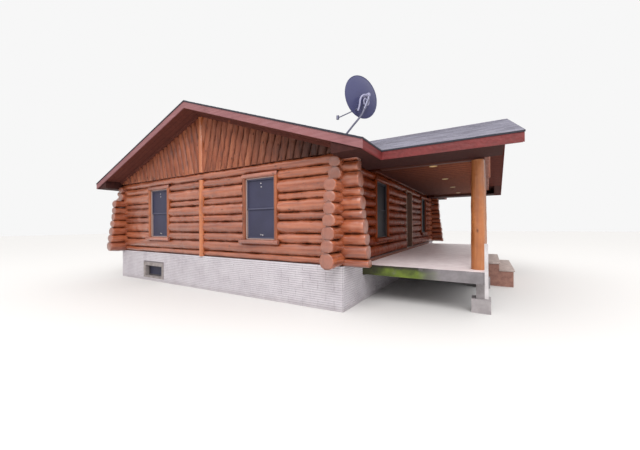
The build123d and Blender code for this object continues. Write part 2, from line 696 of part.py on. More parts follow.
def make_eave_soffits():
    """Level boards under the eaves, with the three-cornered boards that close their ends."""
    y0 = -RAKE + FASCIA_T
    y1 = CABIN_L + RAKE - FASCIA_T
    top = SOFFIT_Z + SOFFIT_T

    def end_board(x_wall, x_eave, y):
        points = [
            (x_wall, top), (x_eave, top),
            (x_eave, roof_z(x_eave) - ROOF_T), (x_wall, roof_z(x_wall) - ROOF_T),
        ]
        return slab_along_y(points, y, y + SOFFIT_T)

    def side_boards(x_wall, x_in):
        high = roof_z(x_in) - ROOF_T
        a, b = sorted((x_wall, x_in))
        face = LOG_SET - half_log(course_bottoms[-1], PLATE_Z) - 1
        return block(a, b, y0, face, SOFFIT_Z, high), block(a, b, CABIN_L - face, y1, SOFFIT_Z, high)

    left = (-CABIN_W - EAVE + FASCIA_T, -CABIN_W - EAVE_BOARD_EDGE)
    board = block(*left, y0, y1, SOFFIT_Z, top)
    for y in (y0, y1 - SOFFIT_T):
        board += end_board(left[1], left[0], y)
    for side in side_boards(left[1], left[1] - SOFFIT_T):
        board += side
    pieces = [board]
    right = (EAVE_BOARD_EDGE, EAVE - FASCIA_T)
    for a, b, y, side in zip(
        (y0, CABIN_L - PORCH_EAVE_Y), (PORCH_EAVE_Y, y1), (y0, y1 - SOFFIT_T),
        side_boards(right[0], right[0] + SOFFIT_T),
    ):
        pieces.append(block(*right, a, b, SOFFIT_Z, top) + end_board(right[0], right[1], y) + side)
    x0 = EAVE_BOARD_EDGE
    x1 = PORCH_OUT + EAVE_BOX_OUT
    for sign in (-1, 1):
        eave = MID_Y + sign * (PORCH_ROOF_HALF - FASCIA_T)
        corner = MID_Y + sign * PORCH_ROOF_HALF
        beam = MID_Y + sign * (MID_Y - PORCH_END + END_BEAM_W / 2)
        board = block(EAVE, x1, *sorted((eave, beam)), SOFFIT_Z, top)
        board += block(x0, EAVE, *sorted((corner, beam)), SOFFIT_Z, top)
        points = [
            (eave, top), (beam, top),
            (beam, porch_roof_z(beam) - ROOF_T), (eave, porch_roof_z(eave) - ROOF_T),
        ]
        pieces.append(board + slab_along_x(points, x1 - SOFFIT_T, x1))
    save("eave_soffits", pieces)


def make_porch():
    slab = block(0, PORCH_OUT, PORCH_NEAR, PORCH_FAR, SLAB_TOP - SLAB_T, SLAB_TOP)
    save("porch_slab", slab)
    spots = [PORCH_END + i * (FAR_END - PORCH_END) / (POST_COUNT - 1) for i in range(POST_COUNT)]
    post = bar(PORCH_POST_R, BEAM_BOTTOM - SLAB_TOP)
    save("porch_posts", [Pos(POST_LINE, y, SLAB_TOP) * post for y in spots])
    under = SLAB_TOP - SLAB_T
    piers = []
    for y in spots:
        pier = block(
            PORCH_OUT - PIER_W, PORCH_OUT, y - PIER_W / 2, y + PIER_W / 2, under - PIER_H, under
        )
        pier += block(
            PORCH_OUT + FOOTING_OUT - FOOTING_W, PORCH_OUT + FOOTING_OUT,
            y - FOOTING_W / 2, y + FOOTING_W / 2, GROUND, under - PIER_H,
        )
        pier -= block(PORCH_OUT, STEP_ENDS[-1], STEP_NEAR, STEP_FAR, GROUND, 0)
        piers.append(pier)
    save("porch_piers", piers)
    half = END_BEAM_W / 2
    ends = [
        block(BEAM_END, POST_LINE + BEAM_R, y - half, y + half, BEAM_BOTTOM, BEAM_TOP)
        for y in (PORCH_END, FAR_END)
    ]
    save("porch_end_beams", ends)
    middle = (BEAM_BOTTOM + BEAM_TOP) / 2
    beam = rod((POST_LINE, PORCH_END + half, middle), (POST_LINE, FAR_END - half, middle), BEAM_R)
    beam &= block(0, 2 * PORCH_OUT, 0, CABIN_L, BEAM_BOTTOM, BEAM_TOP)
    save("porch_outer_beam", beam)
    ceiling = block(
        BEAM_END, POST_LINE - BEAM_R, PORCH_END + half, FAR_END - half,
        CEILING_Z, CEILING_Z + CEILING_T,
    )
    save("porch_ceiling", ceiling)
    light = Pos(LIGHT_X, 0, CEILING_Z - LIGHT_DROP) * bar(LIGHT_R, LIGHT_DROP, LIGHT_SIDES)
    save("porch_lights", [Pos(0, LIGHT_NEAR + i * LIGHT_PITCH, 0) * light for i in range(LIGHT_COUNT)])
    board = block(
        PORCH_OUT + CORNER_BOARD_OUT - CORNER_BOARD_W, PORCH_OUT + CORNER_BOARD_OUT,
        PORCH_NEAR - CORNER_BOARD_T, PORCH_NEAR, CORNER_BOARD_BOTTOM, CORNER_BOARD_TOP,
    )
    save("corner_board", board)


def make_steps():
    start = PORCH_OUT
    bodies = []
    treads = []
    for top, end in zip(STEP_TOPS, STEP_ENDS):
        low = top - TREAD_T
        bodies.append(block(start, end - TREAD_NOSE, STEP_NEAR, STEP_FAR, GROUND, low))
        treads.append(block(start, end, STEP_NEAR - TREAD_NOSE, STEP_FAR + TREAD_NOSE, low, top))
        start = end - TREAD_NOSE
    save("step_bodies", bodies)
    save("step_treads", treads)


def make_dish():
    """The reflector as a shell of many-sided bands, its bent mast on a roof plate, and the arm in front."""
    across = DISH_FACING.cross(Vector(0, 0, 1))
    facing = Plane(DISH_CENTRE, x_dir=across, z_dir=DISH_FACING)

    def ring(share, lift):
        turns = [2 * math.pi * i / DISH_SIDES for i in range(DISH_SIDES)]
        depth = (share * DISH_TALL / 2) ** 2 / (2 * DISH_CURVE) + lift
        return [
            (share * DISH_W / 2 * math.cos(a), share * DISH_TALL / 2 * math.sin(a), depth) for a in turns
        ]

    shares = [(i + 1) / DISH_BANDS for i in range(DISH_BANDS)]
    rings = [ring(share, 0) for share in shares] + [ring(share, DISH_T) for share in reversed(shares)]
    faces = [make_face(Polyline(*one, close=True)).face() for one in (rings[0], rings[-1])]
    for one, other in zip(rings, rings[1:]):
        for i in range(DISH_SIDES):
            corners = (one[i - 1], one[i], other[i], other[i - 1])
            faces.append(make_face(Polyline(*corners, close=True)).face())
    down = facing.x_dir.cross(DISH_FACING)
    down = down if down.Z < 0 else down * -1
    side = facing.x_dir if facing.x_dir.X < 0 else facing.x_dir * -1
    on_face = DISH_CENTRE + side * ARM_SIDE + down * ARM_DROP
    root = on_face - DISH_FACING * ARM_BACK
    tip = on_face + DISH_FACING * ARM_REACH
    arm = rod(root, tip, ARM_R)
    save("dish_reflector", facing * Solid(Shell(faces)) - arm)
    arm += rod(tip - down * FEED_LENGTH / 2, tip + down * FEED_LENGTH / 3, FEED_R)
    foot = Vector(MAST_FOOT.X, MAST_FOOT.Y, roof_z(MAST_FOOT.X))
    boss = DISH_CENTRE - DISH_FACING * BRACKET_LENGTH
    hub = boss - Vector(0, 0, BRACKET_DROP)
    elbow = hub + MAST_BEND
    lean = (elbow - foot).normalized()
    mast = rod(foot - lean * MAST_R, elbow + lean * MAST_R / 2, MAST_R)
    rise = (hub - elbow).normalized()
    mast += rod(elbow - rise * MAST_R / 2, hub + rise * MAST_R, MAST_R)
    mast += rod(hub, boss + Vector(0, 0, MAST_R), MAST_R)
    mast += rod(boss - DISH_FACING * MAST_R, DISH_CENTRE, 2 * MAST_R)
    mast += rod(boss, root, ARM_R) + rod(root - DISH_FACING * ARM_R, root + DISH_FACING * ARM_R, 2 * ARM_R)
    ends = (foot.X - MAST_PLATE, foot.X + MAST_PLATE)
    plate = [(x, roof_z(x)) for x in ends] + [(x, roof_z(x) + MAST_PLATE_T) for x in reversed(ends)]
    mast += slab_along_y(plate, foot.Y - MAST_PLATE, foot.Y + MAST_PLATE)
    below = [(x, roof_z(x)) for x in ends] + [(x, roof_z(x) - MAST_PLATE) for x in reversed(ends)]
    mast -= slab_along_y(below, foot.Y - MAST_PLATE, foot.Y + MAST_PLATE)
    save("dish_mast", mast)
    save("dish_feed_arm", arm - mast)


os.makedirs("parts", exist_ok=True)
make_foundation()
make_walls()
make_gables()
make_windows()
make_door()
make_main_roof()
make_trim()
make_eave_soffits()
make_porch()
make_steps()
make_dish()
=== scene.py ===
"""Looks of a log cabin with a side porch, built around its CAD frame. Metres, Z up."""

import math
import random
from functools import partial

import bpy
from mathutils import Matrix, Vector


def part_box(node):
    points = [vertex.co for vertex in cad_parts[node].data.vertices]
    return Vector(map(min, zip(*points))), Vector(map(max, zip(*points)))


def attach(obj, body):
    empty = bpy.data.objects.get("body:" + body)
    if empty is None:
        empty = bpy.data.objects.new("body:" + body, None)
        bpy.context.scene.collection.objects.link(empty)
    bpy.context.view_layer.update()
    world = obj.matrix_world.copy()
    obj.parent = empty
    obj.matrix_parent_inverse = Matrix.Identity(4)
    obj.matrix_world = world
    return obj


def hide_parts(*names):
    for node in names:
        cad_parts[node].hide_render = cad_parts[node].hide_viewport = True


bl_info = {
    "name": "Log cabin",
    "version": (1, 0, 0),
    "blender": (4, 5, 0),
    "location": "View3D > Sidebar > Log cabin",
    "description": "Builds the logs, roof, foundation, windows, porch, door and dish of a log cabin",
    "category": "Object",
}

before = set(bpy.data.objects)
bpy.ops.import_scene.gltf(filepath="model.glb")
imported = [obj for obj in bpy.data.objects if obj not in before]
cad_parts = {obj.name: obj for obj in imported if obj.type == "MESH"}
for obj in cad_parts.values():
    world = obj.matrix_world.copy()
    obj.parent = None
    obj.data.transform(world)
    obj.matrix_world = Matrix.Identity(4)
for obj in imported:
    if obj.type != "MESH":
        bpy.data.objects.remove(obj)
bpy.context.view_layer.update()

# The cabin's corners, from its foundation
LOW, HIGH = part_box("foundation_front")
X_LEFT, X_RIGHT = LOW.x, HIGH.x
Y_FRONT, Y_BACK = LOW.y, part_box("foundation_back")[1].y
Z_FLOOR = HIGH.z
MID_X = (X_LEFT + X_RIGHT) / 2
WIDTH = X_RIGHT - X_LEFT
LENGTH = Y_BACK - Y_FRONT

# Log courses, as in the CAD walls, and how far a side wall's top course passes the plate
GABLE_COURSES = (0.165, 0.280, 0.235, 0.300, 0.195, 0.285, 0.175, 0.325, 0.220, 0.220)
PLATE = sum(GABLE_COURSES)
SIDE_RISE = 0.2

# One log: its middle behind the wall's face, its half thickness and what that gains with
# the course's height, its swell into its neighbours, and its surface's divisions
LOG_SET = 0.115
LOG_HALF = 0.075
LOG_ROUND = 0.27
LOG_SWELL = 1.08
LOG_STEP = 0.07

# How far the logs run in behind trims and frames
LAP = 0.004

# How far the log ends reach past a corner
CROWN_TOP = 0.33
CROWN_FLARE = 0.24
CROWN_CURVE = 1.3
SIDE_CROWN_LESS = 0.05
SHORT_CROWN = 0.13
TOP_LOG_CROWN = -0.16

# Window openings with their log trim, and the door's opening
WINDOW_HALF = 0.475
TRIM_W = 0.1
WINDOW_SILL = 0.515
WINDOW_HEAD = 2.061
SILL_H = 0.11
HEAD_H = 0.119
TRIM_FOOT, TRIM_TOP = WINDOW_SILL - SILL_H, WINDOW_HEAD + HEAD_H
WINDOWS = {
    "front": (WIDTH / 2 - 2.16, WIDTH / 2 + 2.215),
    "porch": (2.565, LENGTH - 2.5),
    "back": (WIDTH / 2 - 2.16, WIDTH / 2 + 2.215),
    "left": (2.75, LENGTH - 2.75),
}
DOOR_NEAR, DOOR_FAR, DOOR_TOP = LENGTH / 2 - 0.17, LENGTH / 2 + 0.74, 2.15

# Leaning logs of the gables, and the posts between them
POLE_LEAN = math.radians(14)
POLE_PITCH = 0.2216
POLE_R = 0.115
POLE_SET = 0.075
POLE_START = 0.085
POLE_RELIEF = ((0.05, 0.3), (0.03, 0.1))
KING_R = 0.088
KING_GAP = 0.06
CENTRE_R = 0.08

# Roof
SLOPE = 0.357
ROOF_T = 0.17
RIDGE_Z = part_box("main_roof_left")[1].z
PORCH_RIDGE_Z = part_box("porch_roof_near")[1].z
EAVE_X = X_RIGHT + 0.675
RAKE = 0.553
VALLEY_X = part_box("porch_roof_near")[0].x
PORCH_RAKE_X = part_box("porch_rake_fascia")[1].x
PORCH_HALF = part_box("porch_rake_fascia")[1].y
PORCH_SLOPE = (PORCH_RIDGE_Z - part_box("eave_fascias")[1].z) / PORCH_HALF
TAB = 0.305
EXPOSURE = 0.143
SHINGLE_TIP = math.radians(1.6)
PROUD = 0.012

# Foundation: scored block, the joints between its strips, and what the slab hides of it
BLOCK = 0.4
STRIP_H = 0.05
SCORE = 0.003
PORCH_END = 1.065
SLAB_DEEP = 0.313
SKIRTING_H = 0.077

# Boards of the porch ceiling, drawn twice as wide as the real ones so that their joints show
CEILING_PITCH = 0.28
SOFFIT_PITCH = 0.14

# Dish, its mast and its back bracket: the bracket's points run sideways, down and back from
# the dish's middle
DISH_CENTRE = Vector((3.7825, -5.7, 4.275))
DISH_FACING = Vector((-0.9, 0.41, 0.03)).normalized()
DISH_W = 0.83
DISH_TALL = 0.8
DISH_CURVE = 1.25
MAST_FOOT = Vector((3.3625, -5.7, 3.567))
DISH_STRAP = (
    (0.2, 0.34, 0.06), (0.19, 0.25, 0.09), (0.18, 0.14, 0.1), (0.14, 0.07, 0.1),
    (0.07, 0.03, 0.1), (0.0, 0.05, 0.1), (-0.03, 0.12, 0.1), (-0.02, 0.2, 0.1),
)
DISH_CLAMP = (
    (0.08, 0.21, 0.1), (0.09, 0.13, 0.1), (0.05, 0.09, 0.1), (0.02, 0.13, 0.1), (0.0, 0.21, 0.1),
)
DISH_NUTS = ((0.0, 0.05), (0.05, 0.1), (-0.02, 0.12), (0.13, 0.055))

# Stage: how bright the white surroundings are at the horizon, how much they gain towards the
# top, and how bright they look behind the cabin
SKY_LOW = 0.45
SKY_RISE = 1.35
SKY_SEEN = 0.93
CAMERA_AT = (5.8095, -10.794, 1.805)
CAMERA_TURN = (-30.6446523, 0.1110415, -0.3577888)
FOCAL_PX = 283.4
PHOTO_W_PX = 640
SENSOR_W = 36


# Modelling helpers

def only(*objects):
    """Select these objects alone, the last one active."""
    for other in list(bpy.context.selected_objects):
        other.select_set(False)
    for one in objects:
        one.select_set(True)
        bpy.context.view_layer.objects.active = one


def apply_transform(obj, **kinds):
    """Make an object's place, turn and size part of its mesh."""
    only(obj)
    bpy.ops.object.transform_apply(**kinds)
    return obj


def modify(obj, kind, **settings):
    """Give an object a modifier with these settings, and apply it."""
    modifier = obj.modifiers.new(kind.title(), kind)
    for key, value in settings.items():
        setattr(modifier, key, value)
    only(obj)
    bpy.ops.object.modifier_apply(modifier=modifier.name)
    return obj


def bevel(obj, width, segments=1, angle=30):
    """Round or chamfer an object's sharp edges."""
    return modify(
        obj, "BEVEL", width=width, segments=segments, limit_method="ANGLE",
        angle_limit=math.radians(angle),
    )


def array(obj, count, step):
    """Repeat an object in its own mesh."""
    return modify(
        obj, "ARRAY", count=count, use_relative_offset=False, use_constant_offset=True,
        constant_offset_displace=step,
    )


def weather(obj, *waves):
    """Move a surface in and out a little, as wood that was worked by hand."""
    for strength, scale in waves:
        texture = bpy.data.textures.new(f"{obj.name} relief {scale}", "CLOUDS")
        texture.noise_scale = scale
        modify(
            obj, "DISPLACE", texture=texture, texture_coords="LOCAL", strength=strength,
            mid_level=0.5,
        )
    return obj


def box(low, high, edge=0.0, segments=1):
    """A block between two corners, with its edges eased."""
    low, high = Vector(low), Vector(high)
    bpy.ops.mesh.primitive_cube_add(size=1, location=(low + high) / 2)
    obj = bpy.context.object
    obj.scale = high - low
    apply_transform(obj)
    return bevel(obj, edge, segments) if edge else obj


def pole(start, end, radius, sides=16, edge=0.0):
    """A round bar between two points."""
    start, end = Vector(start), Vector(end)
    way = end - start
    bpy.ops.mesh.primitive_cylinder_add(
        vertices=sides, radius=radius, depth=way.length, location=(start + end) / 2
    )
    obj = bpy.context.object
    obj.rotation_euler = way.to_track_quat("Z", "Y").to_euler()
    apply_transform(obj)
    return bevel(obj, edge, 2, 60) if edge else obj


def ring(centre, radius, thick, around):
    """A round bar bent into a level ring."""
    bpy.ops.mesh.primitive_torus_add(
        major_radius=radius, minor_radius=thick, major_segments=around, minor_segments=8,
        location=centre,
    )
    return apply_transform(bpy.context.object)


def tube(points, radius):
    """A bent round bar through the points, with smooth bends."""
    bpy.ops.curve.primitive_bezier_curve_add()
    obj = bpy.context.object
    spline = obj.data.splines[0]
    spline.bezier_points.add(len(points) - 2)
    for bezier, point in zip(spline.bezier_points, points):
        bezier.co = point
        bezier.handle_left_type = "AUTO"
        bezier.handle_right_type = "AUTO"
    obj.data.bevel_depth = radius
    obj.data.bevel_resolution = 4
    obj.data.resolution_u = 10
    obj.data.use_fill_caps = True
    only(obj)
    bpy.ops.object.convert(target="MESH")
    return bpy.context.object


def copy_of(obj, matrix=Matrix.Identity(4)):
    """The same piece again, with its own mesh, moved by a matrix."""
    other = obj.copy()
    other.data = obj.data.copy()
    bpy.context.collection.objects.link(other)
    other.data.transform(matrix)
    return other


def join(objects, name):
    """Several objects as one piece, under one name."""
    only(*objects)
    if len(objects) > 1:
        bpy.ops.object.join()
    obj = bpy.context.object
    obj.name = name
    obj.data.name = name
    return obj


def spot(x, y, z, turn=0):
    """A place, with a turn about the upright axis in degrees."""
    return Matrix.Translation((x, y, z)) @ Matrix.Rotation(math.radians(turn), 4, "Z")


def place(obj, matrix):
    """Move a mesh and leave its object at the origin."""
    obj.data.transform(matrix)
    return obj


def cut(obj, *planes, fill=True):
    """Keep what lies behind each plane, given by a point and a normal, and close it there."""
    only(obj)
    bpy.ops.object.mode_set(mode="EDIT")
    for point, normal in planes:
        bpy.ops.mesh.select_all(action="SELECT")
        bpy.ops.mesh.bisect(
            plane_co=point, plane_no=Vector(normal).normalized(), use_fill=fill,
            clear_outer=True, clear_inner=False,
        )
    bpy.ops.object.mode_set(mode="OBJECT")
    return obj


def smooth(obj, angle=40):
    """Shade a piece smooth, but for its sharp edges."""
    only(obj)
    bpy.ops.object.shade_smooth_by_angle(angle=math.radians(angle))
    return obj


def set_tone(obj, value):
    """One number per piece of timber, which the materials turn into a lighter or darker tint."""
    tone = obj.data.attributes.new("tone", "FLOAT", "FACE")
    tone.data.foreach_set("value", [value] * len(obj.data.polygons))
    return obj


def set_seam(obj, share):
    """How near each point of a log lies to its neighbour, where the materials paint the seam's
    shade.
    """
    seam = obj.data.attributes.new("seam", "FLOAT", "POINT")
    seam.data.foreach_set("value", [min(1.0, abs(share(v.co))) for v in obj.data.vertices])
    return obj


def refine(obj, cuts):
    """Divide the long edges of a log, so that its surface can wander."""
    only(obj)
    bpy.ops.object.mode_set(mode="EDIT")
    bpy.ops.mesh.select_mode(type="EDGE")
    bpy.ops.mesh.select_all(action="DESELECT")
    bpy.ops.object.mode_set(mode="OBJECT")
    points = obj.data.vertices
    edges = obj.data.edges
    lengths = [(points[e.vertices[0]].co - points[e.vertices[1]].co).length for e in edges]
    for edge, length in zip(edges, lengths):
        edge.select = length > 0.5 * max(lengths)
    bpy.ops.object.mode_set(mode="EDIT")
    bpy.ops.mesh.subdivide(number_cuts=cuts)
    bpy.ops.object.mode_set(mode="OBJECT")
    return obj


def taper(obj, centre, low, high, at_low, at_high):
    """Make an upright post thicker at its foot than at its head."""
    for vertex in obj.data.vertices:
        share = (vertex.co.z - low) / (high - low)
        size = at_low + (at_high - at_low) * share
        vertex.co.x = centre[0] + (vertex.co.x - centre[0]) * size
        vertex.co.y = centre[1] + (vertex.co.y - centre[1]) * size
    return obj


def spans(start, end, holes):
    """What is left of a run once its holes are taken out."""
    out = []
    at = start
    for a, b in sorted(holes):
        if b <= at or a >= end:
            continue
        if a > at:
            out.append((at, a))
        at = b
    if at < end:
        out.append((at, end))
    return out


def set_cad(made, *names):
    """Give CAD pieces a material."""
    for name in names:
        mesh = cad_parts[name].data
        mesh.materials.clear()
        mesh.materials.append(made)


def finish_piece(obj, made, slot, *stands_for, body="cabin"):
    """Give a piece its material and the body that it rides on; the slot is not used."""
    obj.data.materials.clear()
    obj.data.materials.append(made)
    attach(obj, body)
    if stands_for:
        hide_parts(*stands_for)
    return obj


# Where each wall's own axes lie: along it seen from outside, into it, and up
WALLS = {
    "front": spot(X_LEFT, Y_FRONT, Z_FLOOR),
    "porch": spot(X_RIGHT, Y_FRONT, Z_FLOOR, 90),
    "back": spot(X_RIGHT, Y_BACK, Z_FLOOR, 180),
    "left": spot(X_LEFT, Y_BACK, Z_FLOOR, -90),
}


# Material helpers

# Mix nodes for colours: the places of their factor and two colours, and of what they give
FACTOR, UNDER, OVER = 0, 6, 7
COVER = {"out": 2, "data_type": "RGBA"}
TINT = {"out": 2, "data_type": "RGBA", "blend_type": "MULTIPLY"}
WHITE = "#FFFFFF"


def hex_colour(text):
    """A linear colour from an sRGB hex text."""
    values = [int(text[i:i + 2], 16) / 255 for i in (1, 3, 5)]
    return [c / 12.92 if c <= 0.04045 else ((c + 0.055) / 1.055) ** 2.4 for c in values] + [1.0]


def fill(made, wanted):
    """Give a node's inputs what another node puts out, a colour or a number."""
    for key, value in wanted.items():
        if isinstance(value, bpy.types.NodeSocket):
            made.id_data.links.new(value, made.inputs[key])
        else:
            value = hex_colour(value) if isinstance(value, str) else value
            made.inputs[key].default_value = value


def node(tree, kind, out=0, at=(), stops=(), **settings):
    """Add a node with its settings and links, and give one of its outputs.

    Settings with a capital letter are inputs, the others are properties. What goes in at
    unnamed inputs comes by their places, and stops are the places and colours of a ramp.
    """
    made = tree.nodes.new(f"ShaderNode{kind}")
    wanted = dict(at) if isinstance(at, dict) else dict(enumerate(at))
    for key, value in settings.items():
        if key[0].isupper():
            wanted[key.replace("_", " ")] = value
        else:
            setattr(made, key, value)
    fill(made, wanted)
    for i, (position, colour) in enumerate(stops):
        elements = made.color_ramp.elements
        element = elements[i] if i < len(elements) else elements.new(position)
        element.position = position
        element.color = hex_colour(colour)
    return made.outputs[out]


def material(name):
    """A new material, and the function that adds nodes to it."""
    made = bpy.data.materials.new(name)
    made.use_nodes = True
    return made, partial(node, made.node_tree)


def shade(made, **inputs):
    """Set or link the inputs of a material's main shader."""
    wanted = {key.replace("_", " "): value for key, value in inputs.items()}
    fill(made.node_tree.nodes["Principled BSDF"], wanted)
    return made


# Materials

def plain(name, colour, roughness, metallic=0.0):
    """One even colour, for small or hidden pieces."""
    return shade(material(name)[0], Base_Color=colour, Roughness=roughness, Metallic=metallic)


def porch_shade_mask(add):
    """How far a surface of the porch-side wall stands in the shade of the porch, from 0 to 1."""
    where = add("TexCoord", "Object")
    x = add("SeparateXYZ", "X", Vector=where)
    y = add("SeparateXYZ", "Y", Vector=where)
    share = 1.0
    for part in (
        add("Math", at=(x, X_RIGHT - 0.25), operation="GREATER_THAN"),
        add("Math", at=(x, X_RIGHT + 0.35), operation="LESS_THAN"),
        add("MapRange", Value=y, From_Min=Y_FRONT + 0.4, From_Max=Y_FRONT + 1.3),
        add("MapRange", Value=y, From_Min=Y_BACK - 0.4, From_Max=Y_BACK - 1.3),
    ):
        share = add("Math", at=(share, part), operation="MULTIPLY")
    return share


def deepen(add, wood, axis, start, end, colour):
    """Paint the shade of a roof onto a wood: darker gradually between two places along an axis."""
    along = add("SeparateXYZ", axis, Vector=add("TexCoord", "Object"))
    share = add("MapRange", Value=along, From_Min=start, From_Max=end)
    return add("Mix", at={FACTOR: share, UNDER: wood, OVER: colour}, **TINT)


def log_wood(name, along, stain, gloss=0.36, knots=1.0, coat=0.0, shadow=None):
    """Peeled, stained and varnished logs: soft streaks, knots, pale sawn ends, painted seam shade.
    """
    made, add = material(name)
    where = add("TexCoord", "Object")
    # Streaks 65 mm wide and 1.3 m long, in patches of half a metre
    drawn = add("Mapping", Vector=where, Scale=[0.35 if a == along else 7 for a in "XYZ"])
    streaks = add("TexNoise", Vector=drawn, Scale=2.2, Detail=5.0, Roughness=0.5)
    patches = add("TexNoise", Vector=where, Scale=1.9, Detail=3.0, Roughness=0.5)
    grain = add("ValToRGB", Fac=streaks, stops=zip((0.22, 0.5, 0.8), stain))
    blotches = ((0.3, "#D2C2BC"), (0.5, WHITE), (0.75, "#FFF4EC"))
    blotches = add("ValToRGB", Fac=patches, stops=blotches)
    wood = add("Mix", at={FACTOR: 0.6, UNDER: grain, OVER: blotches}, **TINT)
    tone = add("Attribute", "Fac", attribute_name="tone", attribute_type="GEOMETRY")
    tint = add("ValToRGB", Fac=tone, stops=((0.0, "#CFC0BA"), (0.5, "#F2E9E4"), (1.0, WHITE)))
    wood = add("Mix", at={FACTOR: 0.8, UNDER: wood, OVER: tint}, **TINT)
    # Knots 40 mm wide, one in about every 150 mm across the grain
    spread = add("Mapping", Vector=where, Scale=[1 if a == along else 2.2 for a in "XYZ"])
    cells = add("TexVoronoi", Vector=spread, Scale=3.1)
    normal = add("NewGeometry", "True Normal")
    facing = add("SeparateXYZ", along, Vector=normal)
    facing = add("Math", at=(facing,), operation="ABSOLUTE")
    seam = add("Attribute", "Fac", attribute_name="seam", attribute_type="GEOMETRY")
    # Dark knots and pale sawn ends, and painted shade in the seams where logs meet
    for value, start, full, most, colour in (
        (cells, 0.15, 0.07, 0.6 * knots, "#451C10"),
        (facing, 0.85, 0.97, 0.75 * knots, "#8E5848"),
        (seam, 0.78, 1.0, 0.75, "#32150D"),
    ):
        share = add("MapRange", Value=value, From_Min=start, From_Max=full, To_Max=most)
        wood = add("Mix", at={FACTOR: share, UNDER: wood, OVER: colour}, **COVER)
    # Painted shade of the porch roof: the porch-side wall darker, with less varnish and shine
    porch_shadow = porch_shade_mask(add)
    wood = add("Mix", at={FACTOR: porch_shadow, UNDER: wood, OVER: "#BC9A7C"}, **TINT)
    if shadow:
        wood = deepen(add, wood, *shadow)
    # Tool marks 110 mm apart, and knots that stand out
    dents = add("TexNoise", Vector=where, Scale=9.0, Detail=2.0, Roughness=0.5)
    height = add("Math", at=(dents, 1.6 * knots, streaks), operation="MULTIPLY_ADD")
    knot = add("MapRange", Value=cells, From_Min=0.15, From_Max=0.07)
    height = add("Math", at=(knot, 0.8 * knots, height), operation="MULTIPLY_ADD")
    return shade(
        made, Base_Color=wood, Coat_Roughness=0.3, Coat_IOR=1.75,
        Coat_Weight=add("Math", at=(porch_shadow, -0.9 * coat, coat), operation="MULTIPLY_ADD"),
        Specular_IOR_Level=add("Math", at=(porch_shadow, -0.45, 0.5), operation="MULTIPLY_ADD"),
        Roughness=add("Math", at=(patches, 0.3, gloss - 0.15), operation="MULTIPLY_ADD"),
        Normal=add("Bump", Height=height, Distance=0.014, Strength=0.8),
    )


def board_wood(name, across, pitch, dark, base, gap="#1A0D0B", width=0.05, shadow=None):
    """Flat stained boards: a dark joint every board width and a soft grain."""
    made, add = material(name)
    where = add("TexCoord", "Object")
    along = add("SeparateXYZ", across, Vector=where)
    boards = add("Math", at=(along, pitch), operation="DIVIDE")
    part = add("Math", at=(boards,), operation="FRACT")
    joint = add("Math", at=(part, width), operation="LESS_THAN")
    # Grain 80 mm long
    grain = add("TexNoise", Vector=where, Scale=12.0, Detail=5.0, Roughness=0.55)
    wood = add("ValToRGB", Fac=grain, stops=((0.3, dark), (0.7, base)))
    wood = add("Mix", at={FACTOR: joint, UNDER: wood, OVER: gap}, **COVER)
    if shadow:
        wood = deepen(add, wood, *shadow)
    return shade(made, Base_Color=wood, Roughness=0.8, Specular_IOR_Level=0.2)


def rough_stone(name, dark, light, scale=9.0, roughness=0.85, relief=0.004):
    """Concrete, masonry or cut stone: mottled, with a grit six times finer than its mottle."""
    made, add = material(name)
    where = add("TexCoord", "Object")
    mottle = add("TexNoise", Vector=where, Scale=scale, Detail=6.0, Roughness=0.6)
    grit = add("TexNoise", Vector=where, Scale=scale * 6, Detail=4.0, Roughness=0.55)
    return shade(
        made, Base_Color=add("ValToRGB", Fac=mottle, stops=((0.3, dark), (0.7, light))),
        Roughness=roughness, Normal=add("Bump", Height=grit, Distance=relief, Strength=1.0),
    )


def painted_block():
    """Masonry paint on block: a pale skin, greyer and dirtier in the lowest 150 mm."""
    made, add = material("Painted block")
    where = add("TexCoord", "Object")
    mottle = add("TexNoise", Vector=where, Scale=3.0, Detail=6.0, Roughness=0.6)
    skin = ((0.3, "#B9B2B8"), (0.55, "#C6C0C5"), (0.8, "#CDC8CC"))
    skin = add("ValToRGB", Fac=mottle, stops=skin)
    height = add("SeparateXYZ", "Z", Vector=where)
    low = add("Math", at=(height, -4.0, 0.6), operation="MULTIPLY_ADD", use_clamp=True)
    clouds = add("TexNoise", Vector=where, Scale=7.0, Detail=5.0, Roughness=0.55)
    dirt = add("Math", at=(low, clouds), operation="MULTIPLY", use_clamp=True)
    # The block's grit, 11 mm across
    grit = add("TexNoise", Vector=where, Scale=90.0, Detail=3.0, Roughness=0.55)
    return shade(
        made, Base_Color=add("Mix", at={FACTOR: dirt, UNDER: skin, OVER: "#8F8380"}, **COVER),
        Roughness=0.8, Normal=add("Bump", Height=grit, Distance=0.002, Strength=0.6),
    )


def shingle(name, turn):
    """Mineral-faced asphalt shingles: every tab a slightly different grey, with fine grit."""
    made, add = material(name)
    where = add("Mapping", Vector=add("TexCoord", "Object"), Rotation=(0, 0, turn))
    tabs = add(
        "TexBrick", Vector=where, offset=0.5, offset_frequency=2, Color1="#7C7A88",
        Color2="#A19FAC", Mortar="#82808A", Scale=1.0, Mortar_Size=0.0, Brick_Width=TAB,
        Row_Height=round(EXPOSURE * math.cos(math.atan(SLOPE)), 4),
    )
    # Grit drawn 6 mm wide, since the real 1 mm grit is too fine to show
    grit = add("TexNoise", Vector=where, Scale=160.0, Detail=3.0, Roughness=0.7)
    stains = add("TexNoise", Vector=where, Scale=0.9, Detail=4.0, Roughness=0.6)
    cover = tabs
    for share, factor, dark in ((0.5, grit, "#9A98A0"), (0.4, stains, "#A29C9E")):
        tint = add("ValToRGB", Fac=factor, stops=((0.35, dark), (0.65, WHITE)))
        cover = add("Mix", at={FACTOR: share, UNDER: cover, OVER: tint}, **TINT)
    return shade(
        made, Base_Color=cover, Roughness=0.92,
        Normal=add("Bump", Height=grit, Distance=0.002, Strength=0.5),
    )


